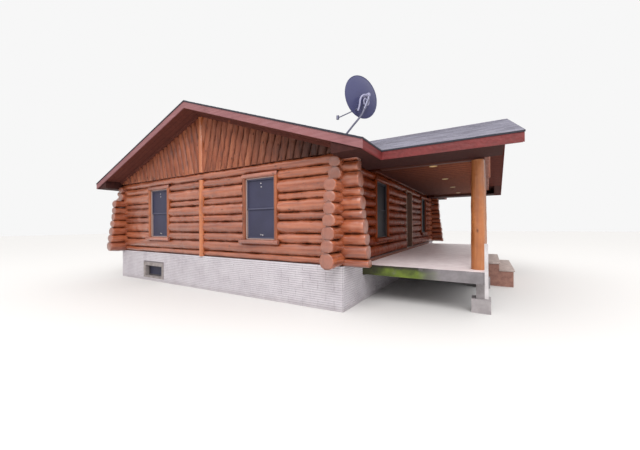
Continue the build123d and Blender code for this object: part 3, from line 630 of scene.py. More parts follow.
def frame_vinyl(name, colour):
    """Window vinyl, pale outdoors, with painted porch shade that makes it nearly black under the
    porch.
    """
    made, add = material(name)
    # Painted shade of the porch roof
    dim = add("Math", at=(porch_shade_mask(add), 0.85), operation="MULTIPLY")
    vinyl = add("Mix", at={FACTOR: dim, UNDER: colour, OVER: "#17171C"}, **COVER)
    return shade(made, Base_Color=vinyl, Roughness=0.5, Specular_IOR_Level=0.3)


def screen_glass(name, colour):
    """Window glass with a dark room or an insect screen behind it, and painted porch shade."""
    made, add = material(name)
    where = add("TexCoord", "Object")
    dust = add("TexNoise", Vector=where, Scale=1.7, Detail=4.0, Roughness=0.55)
    glass = add("Mix", at={FACTOR: dust, UNDER: colour, OVER: "#42425A"}, **COVER)
    # Painted shade of the porch roof: the glass nearly black under the porch
    dim = add("Math", at=(porch_shade_mask(add), 0.92), operation="MULTIPLY")
    glass = add("Mix", at={FACTOR: dim, UNDER: glass, OVER: "#0C0C10"}, **COVER)
    return shade(made, Base_Color=glass, Roughness=0.5, Specular_IOR_Level=0.3)


def slab_concrete(edge_x):
    """Cast concrete, a paler top as painted light and darker sides as painted shade, with moss on
    its front edge.
    """
    made, add = material("Porch slab concrete")
    where = add("TexCoord", "Object")
    x, y, z = (add("SeparateXYZ", axis, Vector=where) for axis in "XYZ")
    mottle = add("TexNoise", Vector=where, Scale=5.0, Detail=6.0, Roughness=0.6)
    # Painted light: the top paler and the side faces darker, mixed by how far a face looks up
    top = add("ValToRGB", Fac=mottle, stops=((0.3, "#E2D3D4"), (0.7, "#F6EBEB")))
    face = add("ValToRGB", Fac=mottle, stops=((0.3, "#6B6668"), (0.7, "#878184")))
    facing = add("SeparateXYZ", "Z", Vector=add("NewGeometry", "True Normal"))
    level = add("MapRange", Value=facing, From_Min=0.3, From_Max=0.7)
    concrete = add("Mix", at={FACTOR: level, UNDER: face, OVER: top}, **COVER)
    inward = add("MapRange", Value=x, From_Min=edge_x - 0.8, From_Max=edge_x - 1.3)
    front = add("Math", at=(y, Y_FRONT + PORCH_END), operation="LESS_THAN")
    edge = add("Math", at=(inward, front), operation="MULTIPLY")
    growth = add("TexNoise", Vector=where, Scale=4.0, Detail=6.0, Roughness=0.65)
    growth = add("MapRange", Value=growth, From_Min=0.2, From_Max=0.42)
    patch = add("Math", at=(edge, growth), operation="MULTIPLY")
    tufts = add("TexNoise", Vector=where, Scale=2.2, Detail=5.0, Roughness=0.55)
    moss = ((0.35, "#17150C"), (0.5, "#35400F"), (0.65, "#63741F"))
    moss = add("ValToRGB", Fac=tufts, stops=moss)
    # Darker moss near the top of the front face and towards the cabin
    low = add("MapRange", Value=z, From_Min=Z_FLOOR - 0.16, From_Max=Z_FLOOR - 0.11)
    corner = add("MapRange", Value=x, From_Min=edge_x - 2.0, From_Max=edge_x - 2.4)
    darker_moss_share = add("Math", at=(low, corner), operation="MAXIMUM")
    darker_moss_share = add("Math", at=(darker_moss_share, 0.85), operation="MULTIPLY")
    moss = add("Mix", at={FACTOR: darker_moss_share, UNDER: moss, OVER: "#1F1310"}, **COVER)
    grit = add("TexNoise", Vector=where, Scale=60.0, Detail=4.0, Roughness=0.55)
    return shade(
        made, Base_Color=add("Mix", at={FACTOR: patch, UNDER: concrete, OVER: moss}, **COVER),
        Roughness=0.5, Normal=add("Bump", Height=grit, Distance=0.001, Strength=1.0),
    )


def roof_deck():
    """Dark sheathing edges, and an underside in the dark brown of stained boards in painted shade.
    """
    made, add = material("Roof deck, dark at its edges and boarded below")
    facing = add("SeparateXYZ", "Z", Vector=add("NewGeometry", "True Normal"))
    below = add("Math", at=(facing, -0.5), operation="LESS_THAN")
    deck = add("Mix", at={FACTOR: below, UNDER: "#2A2A31", OVER: "#4B2822"}, **COVER)
    return shade(made, Base_Color=deck, Roughness=0.9)


# Log walls

def course_bounds(side):
    """The joint heights of a gable wall's courses, or of a side wall's, half a course out."""
    tops = [sum(GABLE_COURSES[:i + 1]) for i in range(len(GABLE_COURSES))]
    bottoms = [0.0] + tops[:-1]
    if not side:
        return list(zip(bottoms, tops))
    middles = [(a + b) / 2 for a, b in zip(bottoms, tops)]
    return list(zip([0.0] + middles[1:], middles[1:] + [tops[-1] + SIDE_RISE]))


def crown(z, less=0.0):
    """How far a log end at this height reaches past the corner: further near the ground."""
    return CROWN_TOP - less + CROWN_FLARE * (1 - z / PLATE) ** CROWN_CURVE


def make_log(start, end, bottom, top, rng):
    """One peeled log along X: a round bar flattened to its course, with eased sawn ends."""
    middle, half = (bottom + top) / 2, (top - bottom) / 2
    bpy.ops.mesh.primitive_cylinder_add(vertices=18, radius=1, depth=end - start)
    obj = bpy.context.object
    obj.rotation_euler = (0, math.pi / 2, 0)
    apply_transform(obj, location=False, rotation=True, scale=False)
    obj.scale = (1, LOG_HALF + LOG_ROUND * (top - bottom), half * LOG_SWELL)
    obj.location = ((start + end) / 2, LOG_SET, middle)
    bevel(apply_transform(obj), 0.018, 2, 60)
    refine(obj, max(1, round((end - start) / LOG_STEP)))
    set_seam(obj, lambda at: (at.z - middle) / half)
    return set_tone(obj, rng.random())


def log_wall(key, rng):
    """All the logs of one wall, in that wall's own axes."""
    side = key in ("porch", "left")
    run = LENGTH if side else WIDTH
    courses = course_bounds(side)
    half = WINDOW_HALF + TRIM_W - LAP
    logs = []
    for i, (bottom, top) in enumerate(courses):
        middle = (bottom + top) / 2
        reach = crown(min(middle, PLATE))
        if side:
            from_top = len(courses) - 1 - i
            reach = crown(sum(GABLE_COURSES[:i + 1]), SIDE_CROWN_LESS)
            reach = {0: TOP_LOG_CROWN, 1: SHORT_CROWN, 2: SHORT_CROWN}.get(from_top, reach)
        holes = []
        if TRIM_FOOT < middle < TRIM_TOP:
            holes += [(u - half, u + half) for u in WINDOWS[key]]
            if bottom < TRIM_FOOT - 0.01:
                # A cut-down log closes what is left of this course below each sill
                for a, b in holes:
                    logs.append(make_log(a - 0.02, b + 0.02, bottom, TRIM_FOOT + 0.012, rng))
        if key == "porch" and middle < DOOR_TOP:
            holes.append((DOOR_NEAR + LAP, DOOR_FAR - LAP))
        for a, b in spans(-reach, run + reach, holes):
            logs.append(make_log(a, b, bottom, top, rng))
    obj = join(logs, f"{key}_log_wall")
    if side:
        under_roof = RIDGE_Z - Z_FLOOR - SLOPE * (X_RIGHT - MID_X) - ROOF_T
        cut(obj, ((0, 0, under_roof), (0, -SLOPE, 1)))
    return obj


class CabinLogSettings(bpy.types.PropertyGroup):
    """How rough the logs are, and the seed of their tints"""

    relief: bpy.props.FloatProperty(
        name="Relief", description="How far the log surfaces wander in and out", default=0.026,
        min=0, max=0.1, unit="LENGTH", subtype="DISTANCE",
    )
    seed: bpy.props.IntProperty(
        name="Seed", description="Seed for the logs' own tints", default=7, min=0,
    )


class CABIN_OT_log_walls(bpy.types.Operator):
    """Build the four log walls with their crossed, flared log ends"""

    bl_idname = "cabin.log_walls"
    bl_label = "Log walls"

    def execute(self, context):
        settings = context.scene.cabin_logs
        rng = random.Random(settings.seed)
        stain = ("#73321C", "#A95A33", "#B87558")
        along_x = log_wood("Stained logs along the gable walls", "X", stain, coat=0.8)
        along_y = log_wood("Stained logs along the side walls", "Y", stain, coat=0.8)
        for key, wood, nodes in (
            ("front", along_x, ("front_wall_left", "front_wall_right", "front_plate_log")),
            ("back", along_x, ("back_wall", "back_plate_log")),
            ("porch", along_y, ("right_wall_near", "right_wall_far", "right_wall_over_door")),
            ("left", along_y, ("left_wall",)),
        ):
            wall = place(log_wall(key, rng), WALLS[key])
            weather(wall, (settings.relief * 1.8, 0.4), (settings.relief * 1.3, 0.12))
            finish_piece(smooth(wall, 50), wood, "wall_logs", *nodes)
        return {"FINISHED"}


# Gable infill and posts

def leaning_logs(run, height, slope, rng):
    """Both halves of a gable infill: poles that lean away from the middle, cut by the roof."""
    drift = height * math.tan(POLE_LEAN)
    length = height / math.cos(POLE_LEAN) + 0.3
    poles = []
    for i in range(int((run + drift) / POLE_PITCH) + 2):
        foot = POLE_START + POLE_PITCH * (i + 0.5) - drift
        for side in (-1, 1):
            head = foot + length * math.sin(POLE_LEAN)
            top = Vector((side * head, POLE_SET, length * math.cos(POLE_LEAN) - 0.1))
            low = Vector((side * foot, POLE_SET, -0.1))
            one = refine(pole(low, top, POLE_R), 20)
            cut(
                one, ((0, 0, -0.004), (0, 0, -1)),
                ((0, 0, height), (-slope, 0, 1)), ((0, 0, height), (slope, 0, 1)),
                ((side * KING_GAP, 0, 0), (-side, 0, 0)), ((side * run, 0, 0), (side, 0, 0)),
            )
            if len(one.data.polygons) < 4:
                bpy.data.objects.remove(one)
                continue
            tilt = side * math.tan(POLE_LEAN)
            half = POLE_PITCH / 2
            set_seam(one, lambda at: ((at.x - low.x) - tilt * (at.z - low.z)) / half)
            poles.append(set_tone(one, rng.random()))
    return poles


def upright(foot, height, radius, rng):
    """A peeled post on its foot, fine enough for its surface to wander."""
    top = (foot[0], foot[1], height)
    return set_tone(refine(pole(foot, top, radius), 20), rng.random())


class CABIN_OT_gables(bpy.types.Operator):
    """Build the leaning logs of the three gables, their king posts and the centre posts"""

    bl_idname = "cabin.gables"
    bl_label = "Gables"

    def execute(self, context):
        rng = random.Random(context.scene.cabin_logs.seed + 1)
        stain = ("#5E3020", "#985436", "#A66A4C")
        outer = log_wood("Stained logs of the porch gable", "Z", stain, gloss=0.55)
        # Painted shadow of the rake overhang: the gable logs darker towards the porch side
        wood = log_wood(
            "Stained logs of the gables", "Z", stain, gloss=0.55,
            shadow=("X", 0.3, X_RIGHT - 0.8, "#8E8888"),
        )
        posts_wood = log_wood(
            "Stained gable posts", "Z", ("#8A4A2C", "#BA6B3C", "#C9865C"), coat=0.5,
        )
        height = RIDGE_Z - Z_FLOOR - ROOF_T - PLATE
        for key in ("front", "back"):
            at = WALLS[key] @ spot(WIDTH / 2, 0, PLATE)
            obj = join(leaning_logs(WIDTH / 2, height, SLOPE, rng), f"{key}_gable_poles")
            smooth(weather(place(obj, at), *POLE_RELIEF))
            finish_piece(obj, wood, "post_logs", f"{key}_gable_logs")
            king = place(upright((0, 0.01, -0.004), height - 0.12, KING_R, rng), at)
            centre = upright((WIDTH / 2, 0.005, 0), PLATE - GABLE_COURSES[-1], CENTRE_R, rng)
            place(centre, WALLS[key])
            posts = join([king, centre], f"{key}_gable_posts")
            smooth(weather(posts, (0.02, 0.25)))
            nodes = ("back_posts",)
            if key == "front":
                nodes = ("front_king_post", "front_centre_post")
            finish_piece(posts, posts_wood, "post_logs", *nodes)
        low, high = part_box("porch_gable_logs")
        height = PORCH_RIDGE_Z - ROOF_T - low.z
        at = spot(high.x - 0.01, 0, low.z, 90)
        obj = join(leaning_logs(high.y, height, PORCH_SLOPE, rng), "porch_gable_poles")
        smooth(weather(place(obj, at), *POLE_RELIEF))
        finish_piece(obj, outer, "post_logs", "porch_gable_logs")
        king = place(upright((0, 0.01, -0.004), height - 0.02, KING_R, rng), at)
        king.name = "porch_king_pole"
        finish_piece(smooth(king), outer, "post_logs", "porch_king_post")
        return {"FINISHED"}


# Windows

# The outer frame's bars, the sashes' gap, bars and thickness, how deep the lower and the
# upper sash sit, how far they pass each other, and the latches
FRAME_BAR = 0.024
SASH_GAP = 0.022
SASH_SIDE, SASH_RAIL, SASH_T = 0.028, 0.034, 0.026
LOWER_IN, UPPER_IN = 0.062, 0.034
MEETING = 0.02
LATCH_HALF, LATCH_H = 0.013, 0.022


def trim_pieces():
    """The half logs round a window with the timber behind them: two sides, head and sill."""
    outer = WINDOW_HALF + TRIM_W
    back = LOG_SET + LOG_HALF
    face = ((0, 0, 0), (0, 1, 0))
    out = []
    for side in (-1, 1):
        x = side * (WINDOW_HALF + TRIM_W / 2)
        foot, top = (x, 0.004, WINDOW_SILL - 0.01), (x, 0.004, WINDOW_HEAD + 0.01)
        post = cut(pole(foot, top, TRIM_W / 2, 20), face)
        reveal = box((x - TRIM_W / 2, 0, TRIM_FOOT), (x + TRIM_W / 2, back, TRIM_TOP))
        out.append(join([post, reveal], "side"))
    z = WINDOW_HEAD + HEAD_H / 2
    head = cut(pole((-outer, 0.004, z), (outer, 0.004, z), HEAD_H / 2, 20, 0.01), face)
    head_back = box((-outer, 0, WINDOW_HEAD), (outer, back, TRIM_TOP))
    nose = -0.11 + SILL_H / 2
    z = WINDOW_SILL - SILL_H / 2
    end = outer + 0.06
    sill = pole((-end, nose, z), (end, nose, z), SILL_H / 2, 20, 0.01)
    sill_back = box((-outer, nose, TRIM_FOOT), (outer, back, WINDOW_SILL))
    return out + [join([head, head_back], "head"), join([sill, sill_back], "sill")]


def surround(low, high, near, far, thick, edge):
    """Four bars of one thickness round a rectangle that is centred on X."""
    half = high[0]
    out = []
    for a, b in ((-half, -half + thick[0]), (half - thick[0], half)):
        out.append(box((a, near, low), (b, far, high[1]), edge))
    for a, b in ((low, low + thick[1]), (high[1] - thick[1], high[1])):
        out.append(box((-half, near, a), (half, far, b), edge))
    return out


def sash_pieces():
    """Two sashes, the upper one further out, which meet at mid height."""
    middle = (WINDOW_SILL + WINDOW_HEAD) / 2
    inner = WINDOW_HALF - SASH_GAP
    out = []
    for low, high, near in (
        (WINDOW_SILL + SASH_GAP, middle + MEETING, LOWER_IN),
        (middle - MEETING, WINDOW_HEAD - SASH_GAP, UPPER_IN),
    ):
        bars = (SASH_SIDE, SASH_RAIL)
        out += surround(low, (inner, high), near, near + SASH_T, bars, 0.003)
    return out


def latch_pieces():
    """The small light tabs of the screen, two near its head and two near its foot."""
    head, foot = WINDOW_HEAD, WINDOW_SILL
    spots = ((0.0, head - 0.15), (0.01, head - 0.24), (-0.01, foot + 0.11), (0.05, foot + 0.1))
    return [
        box((x - LATCH_HALF, 0.05, z), (x + LATCH_HALF, 0.06, z + LATCH_H), 0.003)
        for x, z in spots
    ]


class CABIN_OT_windows(bpy.types.Operator):
    """Build the half-log trim, the sashes with their screens and latches, and the panes' look"""

    bl_idname = "cabin.windows"
    bl_label = "Windows"

    def execute(self, context):
        rng = random.Random(context.scene.cabin_logs.seed + 2)
        sides, levels, frames, sashes, latches = [], [], [], [], []
        for key, row in WINDOWS.items():
            for u in row:
                at = WALLS[key] @ spot(u, 0, 0)
                trim = [place(set_tone(piece, rng.random()), at) for piece in trim_pieces()]
                sides += trim[:2]
                levels += trim[2:]
                corner, bars = (WINDOW_HALF, WINDOW_HEAD), (FRAME_BAR, FRAME_BAR)
                outer = surround(WINDOW_SILL, corner, 0.01, 0.12, bars, 0.002)
                frames += [place(piece, at) for piece in outer]
                sashes += [place(piece, at) for piece in sash_pieces()]
                if key != "porch":
                    latches += [place(piece, at) for piece in latch_pieces()]
        wood = log_wood(
            "Stained half logs round the windows", "Z", ("#7A3C20", "#A85F36", "#B2714A"),
            coat=0.3,
        )
        sill_wood = log_wood(
            "Stained window sills", "X", ("#743A28", "#A5604A", "#BC8068"), coat=0.8,
        )
        for pieces, name, made, slot, nodes in (
            (sides, "window_side_logs", wood, "post_logs", ("window_log_trim",)),
            (levels, "window_sills_and_heads", sill_wood, "post_logs", ()),
        ):
            finish_piece(smooth(join(pieces, name), 50), made, slot, *nodes)
        vinyl = frame_vinyl("Window frame vinyl", "#A58F88")
        finish_piece(join(frames, "window_outer_frames"), vinyl, "window_vinyl", "window_frames")
        sash = frame_vinyl("Sash behind a screen", "#4E4E62")
        finish_piece(join(sashes, "window_sashes"), sash, "window_vinyl")
        latch = plain("White latches", "#E6E2E2", 0.4)
        finish_piece(join(latches, "window_latches"), latch, "window_vinyl")
        set_cad(screen_glass("Window glass behind screens", "#2F2F3E"), "window_panes")
        set_cad(screen_glass("Dark basement glass", "#2A2A34"), "basement_window_pane")
        return {"FINISHED"}


# Foundation

def strips(length, blocked):
    """The scored face of a block wall: strips an eighth of a block long, cut at every block."""
    unit_w = BLOCK - SCORE
    unit = box((0, -0.012, SCORE), (unit_w, 0.001, STRIP_H - SCORE), 0.004)
    out = []
    for row in range(round(Z_FLOOR / STRIP_H)):
        z = -Z_FLOOR + row * STRIP_H
        holes = [(u0, u1) for u0, u1, z0, z1 in blocked if z + 0.04 > z0 and z + 0.01 < z1]
        at = -BLOCK / 2 if (row // 4) % 2 else 0.0
        while at < length:
            for a, b in spans(max(at, 0.0), min(at + BLOCK, length), holes):
                if b - a >= 0.02:
                    stretch = Matrix.Diagonal(((b - a - SCORE) / unit_w, 1, 1, 1))
                    out.append(copy_of(unit, spot(a + SCORE / 2, 0, z) @ stretch))
            at += BLOCK
    bpy.data.objects.remove(unit)
    return out


class CABIN_OT_foundation(bpy.types.Operator):
    """Face the foundation with scored block and give the basement surround and floor their finish"""

    bl_idname = "cabin.foundation"
    bl_label = "Foundation"

    def execute(self, context):
        paint = painted_block()
        low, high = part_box("basement_window_surround")
        hole = (low.x - X_LEFT, high.x - X_LEFT, low.z - Z_FLOOR, high.z - Z_FLOOR)
        near = PORCH_END - 0.005
        behind_slab = (near, LENGTH - near, -SLAB_DEEP, 0.01)
        for key, length, blocked in (
            ("front", WIDTH, [hole]), ("back", WIDTH, []), ("porch", LENGTH, [behind_slab]),
            ("left", LENGTH, []),
        ):
            skin = place(join(strips(length, blocked), f"{key}_block_face"), WALLS[key])
            finish_piece(skin, paint, "block_paint")
        skirting = box((PORCH_END, -0.014, -SKIRTING_H), (LENGTH - PORCH_END, 0.0, 0.0), 0.004)
        skirting.name = "porch_skirting_board"
        stain = plain("Stained skirting", "#6B3724", 0.6)
        finish_piece(place(skirting, WALLS["porch"]), stain, "block_paint")
        # The block behind the scored strips shows in their joints, darker as painted shade
        set_cad(
            plain("Scored joints in painted shade", "#7E777A", 0.95),
            "foundation_front", "foundation_back", "foundation_left", "foundation_right",
        )
        cast = rough_stone("Cast concrete surround", "#7E7674", "#A39A98", 6.0)
        set_cad(cast, "basement_window_surround")
        set_cad(plain("Dark basement sash", "#4A4548", 0.5), "basement_window_sash")
        floor = board_wood("Planed floor boards", "X", SOFFIT_PITCH, "#9A6A45", "#B8865C")
        set_cad(floor, "cabin_floor")
        return {"FINISHED"}


# Roof

def shingle_field(length, depth, slope):
    """Three-tab shingles on one slope: drawn along X, climbing towards +Y from the eave."""
    tab = box((0.0015, -0.012, 0), (TAB - 0.0015, EXPOSURE + 0.02, 0.006))
    tab.rotation_euler = (-SHINGLE_TIP, 0, 0)
    apply_transform(tab)
    array(tab, math.ceil(length / TAB) + 1, (TAB, 0, 0))
    field = join([tab, copy_of(tab, spot(-TAB / 2, EXPOSURE, 0))], "field")
    array(field, math.ceil(depth / EXPOSURE / 2), (0, 2 * EXPOSURE, 0))
    return place(field, Matrix.Rotation(math.atan(slope), 4, "X") @ spot(0, 0, 0.003))


def ridge_caps(length, slope):
    """Cap shingles folded over a ridge, along X from the origin."""
    halves = []
    for side in (1, -1):
        half = box((0, 0, 0.008), (0.3, 0.15, 0.014))
        half.rotation_euler = (0, SHINGLE_TIP, 0)
        apply_transform(half)
        place(half, Matrix.Rotation(-math.atan(slope), 4, "X"))
        if side == -1:
            place(half, Matrix.Scale(-1, 4, (0, 1, 0)))
            half.data.flip_normals()
        halves.append(half)
    return array(join(halves, "cap"), int(length / EXPOSURE), (EXPOSURE, 0, 0))


def edge_strips(y0, y1, eave_z):
    """The dark starter shingles along every edge of the roofs, a little proud of the fascias."""
    under, over = -0.028, 0.004
    out = []
    for turn in (-1, 1):
        tilt = Matrix.Rotation(math.atan(SLOPE), 4, "Y")
        run = math.hypot(1, SLOPE) * (EAVE_X - MID_X)
        for y, side in ((y0, -1), (y1, 1)):
            a, b = sorted((0, side * turn * PROUD))
            strip = box((0, a, under), (run, b, over))
            out.append(place(strip, spot(MID_X, y, RIDGE_Z, 90 - 90 * turn) @ tilt))
        tilt = Matrix.Rotation(-math.atan(PORCH_SLOPE), 4, "X")
        run = math.hypot(1, PORCH_SLOPE) * PORCH_HALF
        a, b = sorted((0, turn * PROUD))
        strip = box((a, 0, under), (b, run, over))
        at = spot(PORCH_RAKE_X, 0, PORCH_RIDGE_Z, 90 - 90 * turn)
        out.append(place(strip, at @ tilt))
    low, high = eave_z - 0.03, eave_z + 0.006
    for side, end in ((-1, y0), (1, y1)):
        a, b = sorted((side * PORCH_HALF, side * (PORCH_HALF + PROUD)))
        out.append(box((EAVE_X, a, low), (PORCH_RAKE_X, b, high)))
        a, b = sorted((side * PORCH_HALF, end))
        out.append(box((EAVE_X, a, low), (EAVE_X + PROUD, b, high)))
    left = 2 * MID_X - EAVE_X
    out.append(box((left - PROUD, y0, low), (left, y1, high)))
    return out


class CABIN_OT_roof(bpy.types.Operator):
    """Lay the shingles and ridge caps, and give the fascias and soffits their boards"""

    bl_idname = "cabin.roof"
    bl_label = "Roof"

    def execute(self, context):
        y0, y1 = Y_FRONT - RAKE, Y_BACK + RAKE
        eave_z = RIDGE_Z - SLOPE * (EAVE_X - MID_X)
        valley = Vector((VALLEY_X, 0, 0))
        reach = PORCH_HALF / (EAVE_X - VALLEY_X)
        ends = ((0, y1 + PROUD / 2, 0), (0, 1, 0)), ((0, y0 - PROUD / 2, 0), (0, -1, 0))
        rake = ((PORCH_RAKE_X + PROUD / 2, 0, 0), (1, 0, 0))
        right = shingle_field(y1 - y0, (EAVE_X - MID_X) * math.hypot(1, SLOPE), SLOPE)
        left = copy_of(right)
        place(right, spot(EAVE_X, y0, eave_z, 90))
        place(left, spot(2 * MID_X - EAVE_X, y1, eave_z, -90))
        for obj, side in ((right, 1), (left, -1)):
            cut(obj, *ends, ((MID_X, 0, 0), (-side, 0, 0)))
        far = copy_of(right)
        cut(right, (valley, (reach, 1, 0)))
        cut(far, (valley, (reach, -1, 0)))
        depth = PORCH_HALF * math.hypot(1, PORCH_SLOPE)
        near_side = shingle_field(PORCH_RAKE_X - VALLEY_X, depth, PORCH_SLOPE)
        far_side = copy_of(near_side)
        place(near_side, spot(VALLEY_X, -PORCH_HALF, eave_z))
        place(far_side, spot(PORCH_RAKE_X, PORCH_HALF, eave_z, 180))
        for obj, side in ((near_side, -1), (far_side, 1)):
            cut(obj, rake, ((0, 0, 0), (0, -side, 0)), (valley, (-reach, side, 0)))
        caps = place(ridge_caps(y1 - y0, SLOPE), spot(MID_X, y0, RIDGE_Z, 90))
        porch_caps = ridge_caps(PORCH_RAKE_X - VALLEY_X, PORCH_SLOPE)
        place(porch_caps, spot(VALLEY_X, 0, PORCH_RIDGE_Z))
        for obj in (caps, porch_caps):
            cut(obj, *ends, rake)
        edge = join(edge_strips(y0, y1, eave_z), "roof_edge_shingles")
        finish_piece(edge, plain("Dark shingle edge", "#2B2B34", 0.9), "shingles")
        main = join([right, far, left, caps], "main_roof_shingles")
        along_y = shingle("Asphalt shingles on the main roof", math.pi / 2)
        finish_piece(main, along_y, "shingles")
        porch = join([near_side, far_side, porch_caps], "porch_roof_shingles")
        finish_piece(porch, shingle("Asphalt shingles on the porch roof", 0), "shingles")
        self.boards()
        return {"FINISHED"}

    def boards(self):
        """Faded rake boards, red fascias on the weather side, and board soffits, darker under the
        eaves as painted shade.
        """
        set_cad(
            roof_deck(), "main_roof_left", "main_roof_right", "porch_roof_near", "porch_roof_far",
        )
        stain = ("#93626A", "#A06E73", "#AD8088")
        faded = log_wood("Faded rake fascia boards", "X", stain, 0.5, 0.0)
        set_cad(faded, "front_rake_fascia", "back_rake_fascia")
        stain = ("#702122", "#80292A", "#8C3334")
        fascia = log_wood("Stained fascia boards", "Y", stain, 0.6, 0.0)
        set_cad(fascia, "porch_rake_fascia", "eave_fascias")
        rake_soffit = board_wood(
            "Stained rake soffit boards", "Y", SOFFIT_PITCH, "#5A3029", "#6B3A30", "#2A1310",
        )
        set_cad(rake_soffit, "front_rake_soffit", "back_rake_soffit", "porch_rake_soffit")
        # The eave soffits are the rake soffit boards darkened as painted shade
        soffit = board_wood(
            "Stained soffit boards", "Y", SOFFIT_PITCH, "#351A17", "#43221E", "#1A0C0A",
        )
        set_cad(soffit, "eave_soffits")


# Porch and steps

# How much thicker a post is at its foot than at its head, and the treads' size and overlap
POSTS = 4
LIGHTS = 4
POST_FOOT, POST_HEAD = 1.06, 0.9
TREAD_T, TREAD_W, TREAD_LAP = 0.06, 0.322, 0.03


class CABIN_OT_porch(bpy.types.Operator):
    """Build the posts, the outer beam, the boarded ceiling, its lights, the slab and the steps"""

    bl_idname = "cabin.porch"
    bl_label = "Porch"

    def execute(self, context):
        self.posts(random.Random(context.scene.cabin_logs.seed + 3))
        low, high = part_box("porch_outer_beam")
        x = (low.x + high.x) / 2
        z = (low.z + high.z) / 2
        log = pole((x, low.y, z), (x, high.y, z), (high.x - low.x) / 2, 24)
        cut(log, ((0, 0, high.z), (0, 0, 1)), ((0, 0, low.z), (0, 0, -1)))
        log.name = "porch_beam_log"
        smooth(set_tone(log, 0.5))
        beam = log_wood("Stained porch beam", "Y", ("#5E2E1C", "#8A4E34", "#A0644C"))
        finish_piece(log, beam, "wall_logs", "porch_outer_beam")
        stain = ("#4A2418", "#5E3022", "#6E3C2C")
        set_cad(log_wood("Stained end beams", "X", stain, 0.6, 0.0), "porch_end_beams")
        self.ceiling()
        self.lights()
        set_cad(slab_concrete(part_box("porch_slab")[1].x), "porch_slab")
        set_cad(rough_stone("Pier block", "#8E8889", "#A9A2A3", 7.0), "porch_piers")
        chalk = rough_stone("Chalky white paint", "#B4AEAE", "#CFCACC", 5.0, 0.7, 0.001)
        set_cad(chalk, "corner_board")
        self.steps()
        return {"FINISHED"}

    def posts(self, rng):
        """Four peeled logs, thicker at the foot."""
        low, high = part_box("porch_posts")
        x = (low.x + high.x) / 2
        radius = (high.x - low.x) / 2
        first, last = low.y + radius, high.y - radius
        posts = []
        for i in range(POSTS):
            y = first + i * (last - first) / (POSTS - 1)
            post = refine(pole((x, y, low.z), (x, y, high.z), radius * 0.97, 28), 30)
            taper(post, (x, y), low.z, high.z, POST_FOOT, POST_HEAD)
            posts.append(set_tone(post, rng.random()))
        made = smooth(weather(join(posts, "porch_log_posts"), (0.02, 0.35)), 60)
        stain = ("#9A5C36", "#B4713F", "#BE8458")
        wood = log_wood("Stained porch posts", "Z", stain, coat=0.2)
        finish_piece(made, wood, "post_logs", "porch_posts")

    def ceiling(self):
        """Boards along the cabin's width under the porch roof."""
        low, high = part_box("porch_ceiling")
        start = math.ceil(low.y / CEILING_PITCH) * CEILING_PITCH
        under, over = low.z - 0.004, low.z + 0.01
        board = box((low.x, 0.006, under), (high.x, CEILING_PITCH - 0.001, over), 0.003)
        array(board, int((high.y - start) / CEILING_PITCH), (0, CEILING_PITCH, 0))
        place(board, spot(0, start, 0))
        first = box((low.x, low.y, under), (high.x, start, over), 0.003)
        # Painted shade under the porch roof: the ceiling boards darker towards the wall
        stain = board_wood(
            "Stained ceiling boards", "Y", CEILING_PITCH, "#74381F", "#9A5433", "#2A120B", 0.1,
            shadow=("X", X_RIGHT + 2.4, X_RIGHT + 0.2, "#86685A"),
        )
        finish_piece(join([board, first], "ceiling_boards"), stain, "ceiling_boards")
        # The ceiling behind the boards' joints is a dark sheet of painted shade
        set_cad(plain("Ceiling shadow gap", "#2E1810", 0.8), "porch_ceiling")

    def lights(self):
        """A dim warm lens and a thin trim ring at each recessed light."""
        lens = plain("Recessed light lens", "#C9AE74", 0.5)
        set_cad(shade(lens, Emission_Color="#C79A55", Emission_Strength=0.3), "porch_lights")
        low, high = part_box("porch_lights")
        x = (low.x + high.x) / 2
        radius = (high.x - low.x) / 2
        step = (high.y - low.y - 2 * radius) / (LIGHTS - 1)
        rings = [
            ring((x, low.y + radius + i * step, low.z + 0.004), radius, 0.008, 36)
            for i in range(LIGHTS)
        ]
        trim = smooth(join(rings, "light_trim_rings"))
        finish_piece(trim, plain("Light trim", "#8E7A62", 0.5), "white_board")

    def steps(self):
        """Two stone treads with eased edges on masonry bodies."""
        low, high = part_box("step_treads")
        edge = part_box("porch_slab")[1].x
        upper = edge + TREAD_W
        treads = smooth(join([
            box((edge, low.y, high.z - TREAD_T), (upper, high.y, high.z), 0.012, 2),
            box((upper - TREAD_LAP, low.y, low.z), (high.x, high.y, low.z + TREAD_T), 0.012, 2),
        ], "stone_treads"))
        stone = rough_stone("Stone treads", "#9A8A84", "#BEAFA8", 8.0, 0.8)
        finish_piece(treads, stone, "step_stone", "step_treads")
        set_cad(rough_stone("Reddish step masonry", "#7E5A50", "#A57A6C", 9.0), "step_bodies")


# Door

# The leaf's gap in its opening and its thickness, the timber beside and between its panels,
# their heights, the knobs with their roses, and the casing
LEAF_GAP, LEAF_T = 0.055, 0.045
STILE, MIDDLE_STILE = 0.12, 0.1
PANEL_SPANS = ((0.245, 0.88), (1.04, 1.945))
KNOB_IN, KNOB_Z = 0.07, 0.95
ROSE_R, KNOB_R = 0.034, 0.0285
CASING = 0.05


def panel(left, right, low, high, face, way):
    """The sunk moulding round one door panel and its raised field."""
    strip = 0.014
    near, far = sorted((face - 0.001 * way, face + 0.008 * way))
    out = []
    for a, b, c, d in (
        (left, left + strip, low, high), (right - strip, right, low, high),
        (left + strip, right - strip, low, low + strip),
        (left + strip, right - strip, high - strip, high),
    ):
        out.append(box((a, near, c), (b, far, d), 0.003))
    near, far = sorted((face + 0.002 * way, face + 0.008 * way))
    out.append(box((left + 0.04, near, low + 0.04), (right - 0.04, far, high - 0.04), 0.005))
    return out


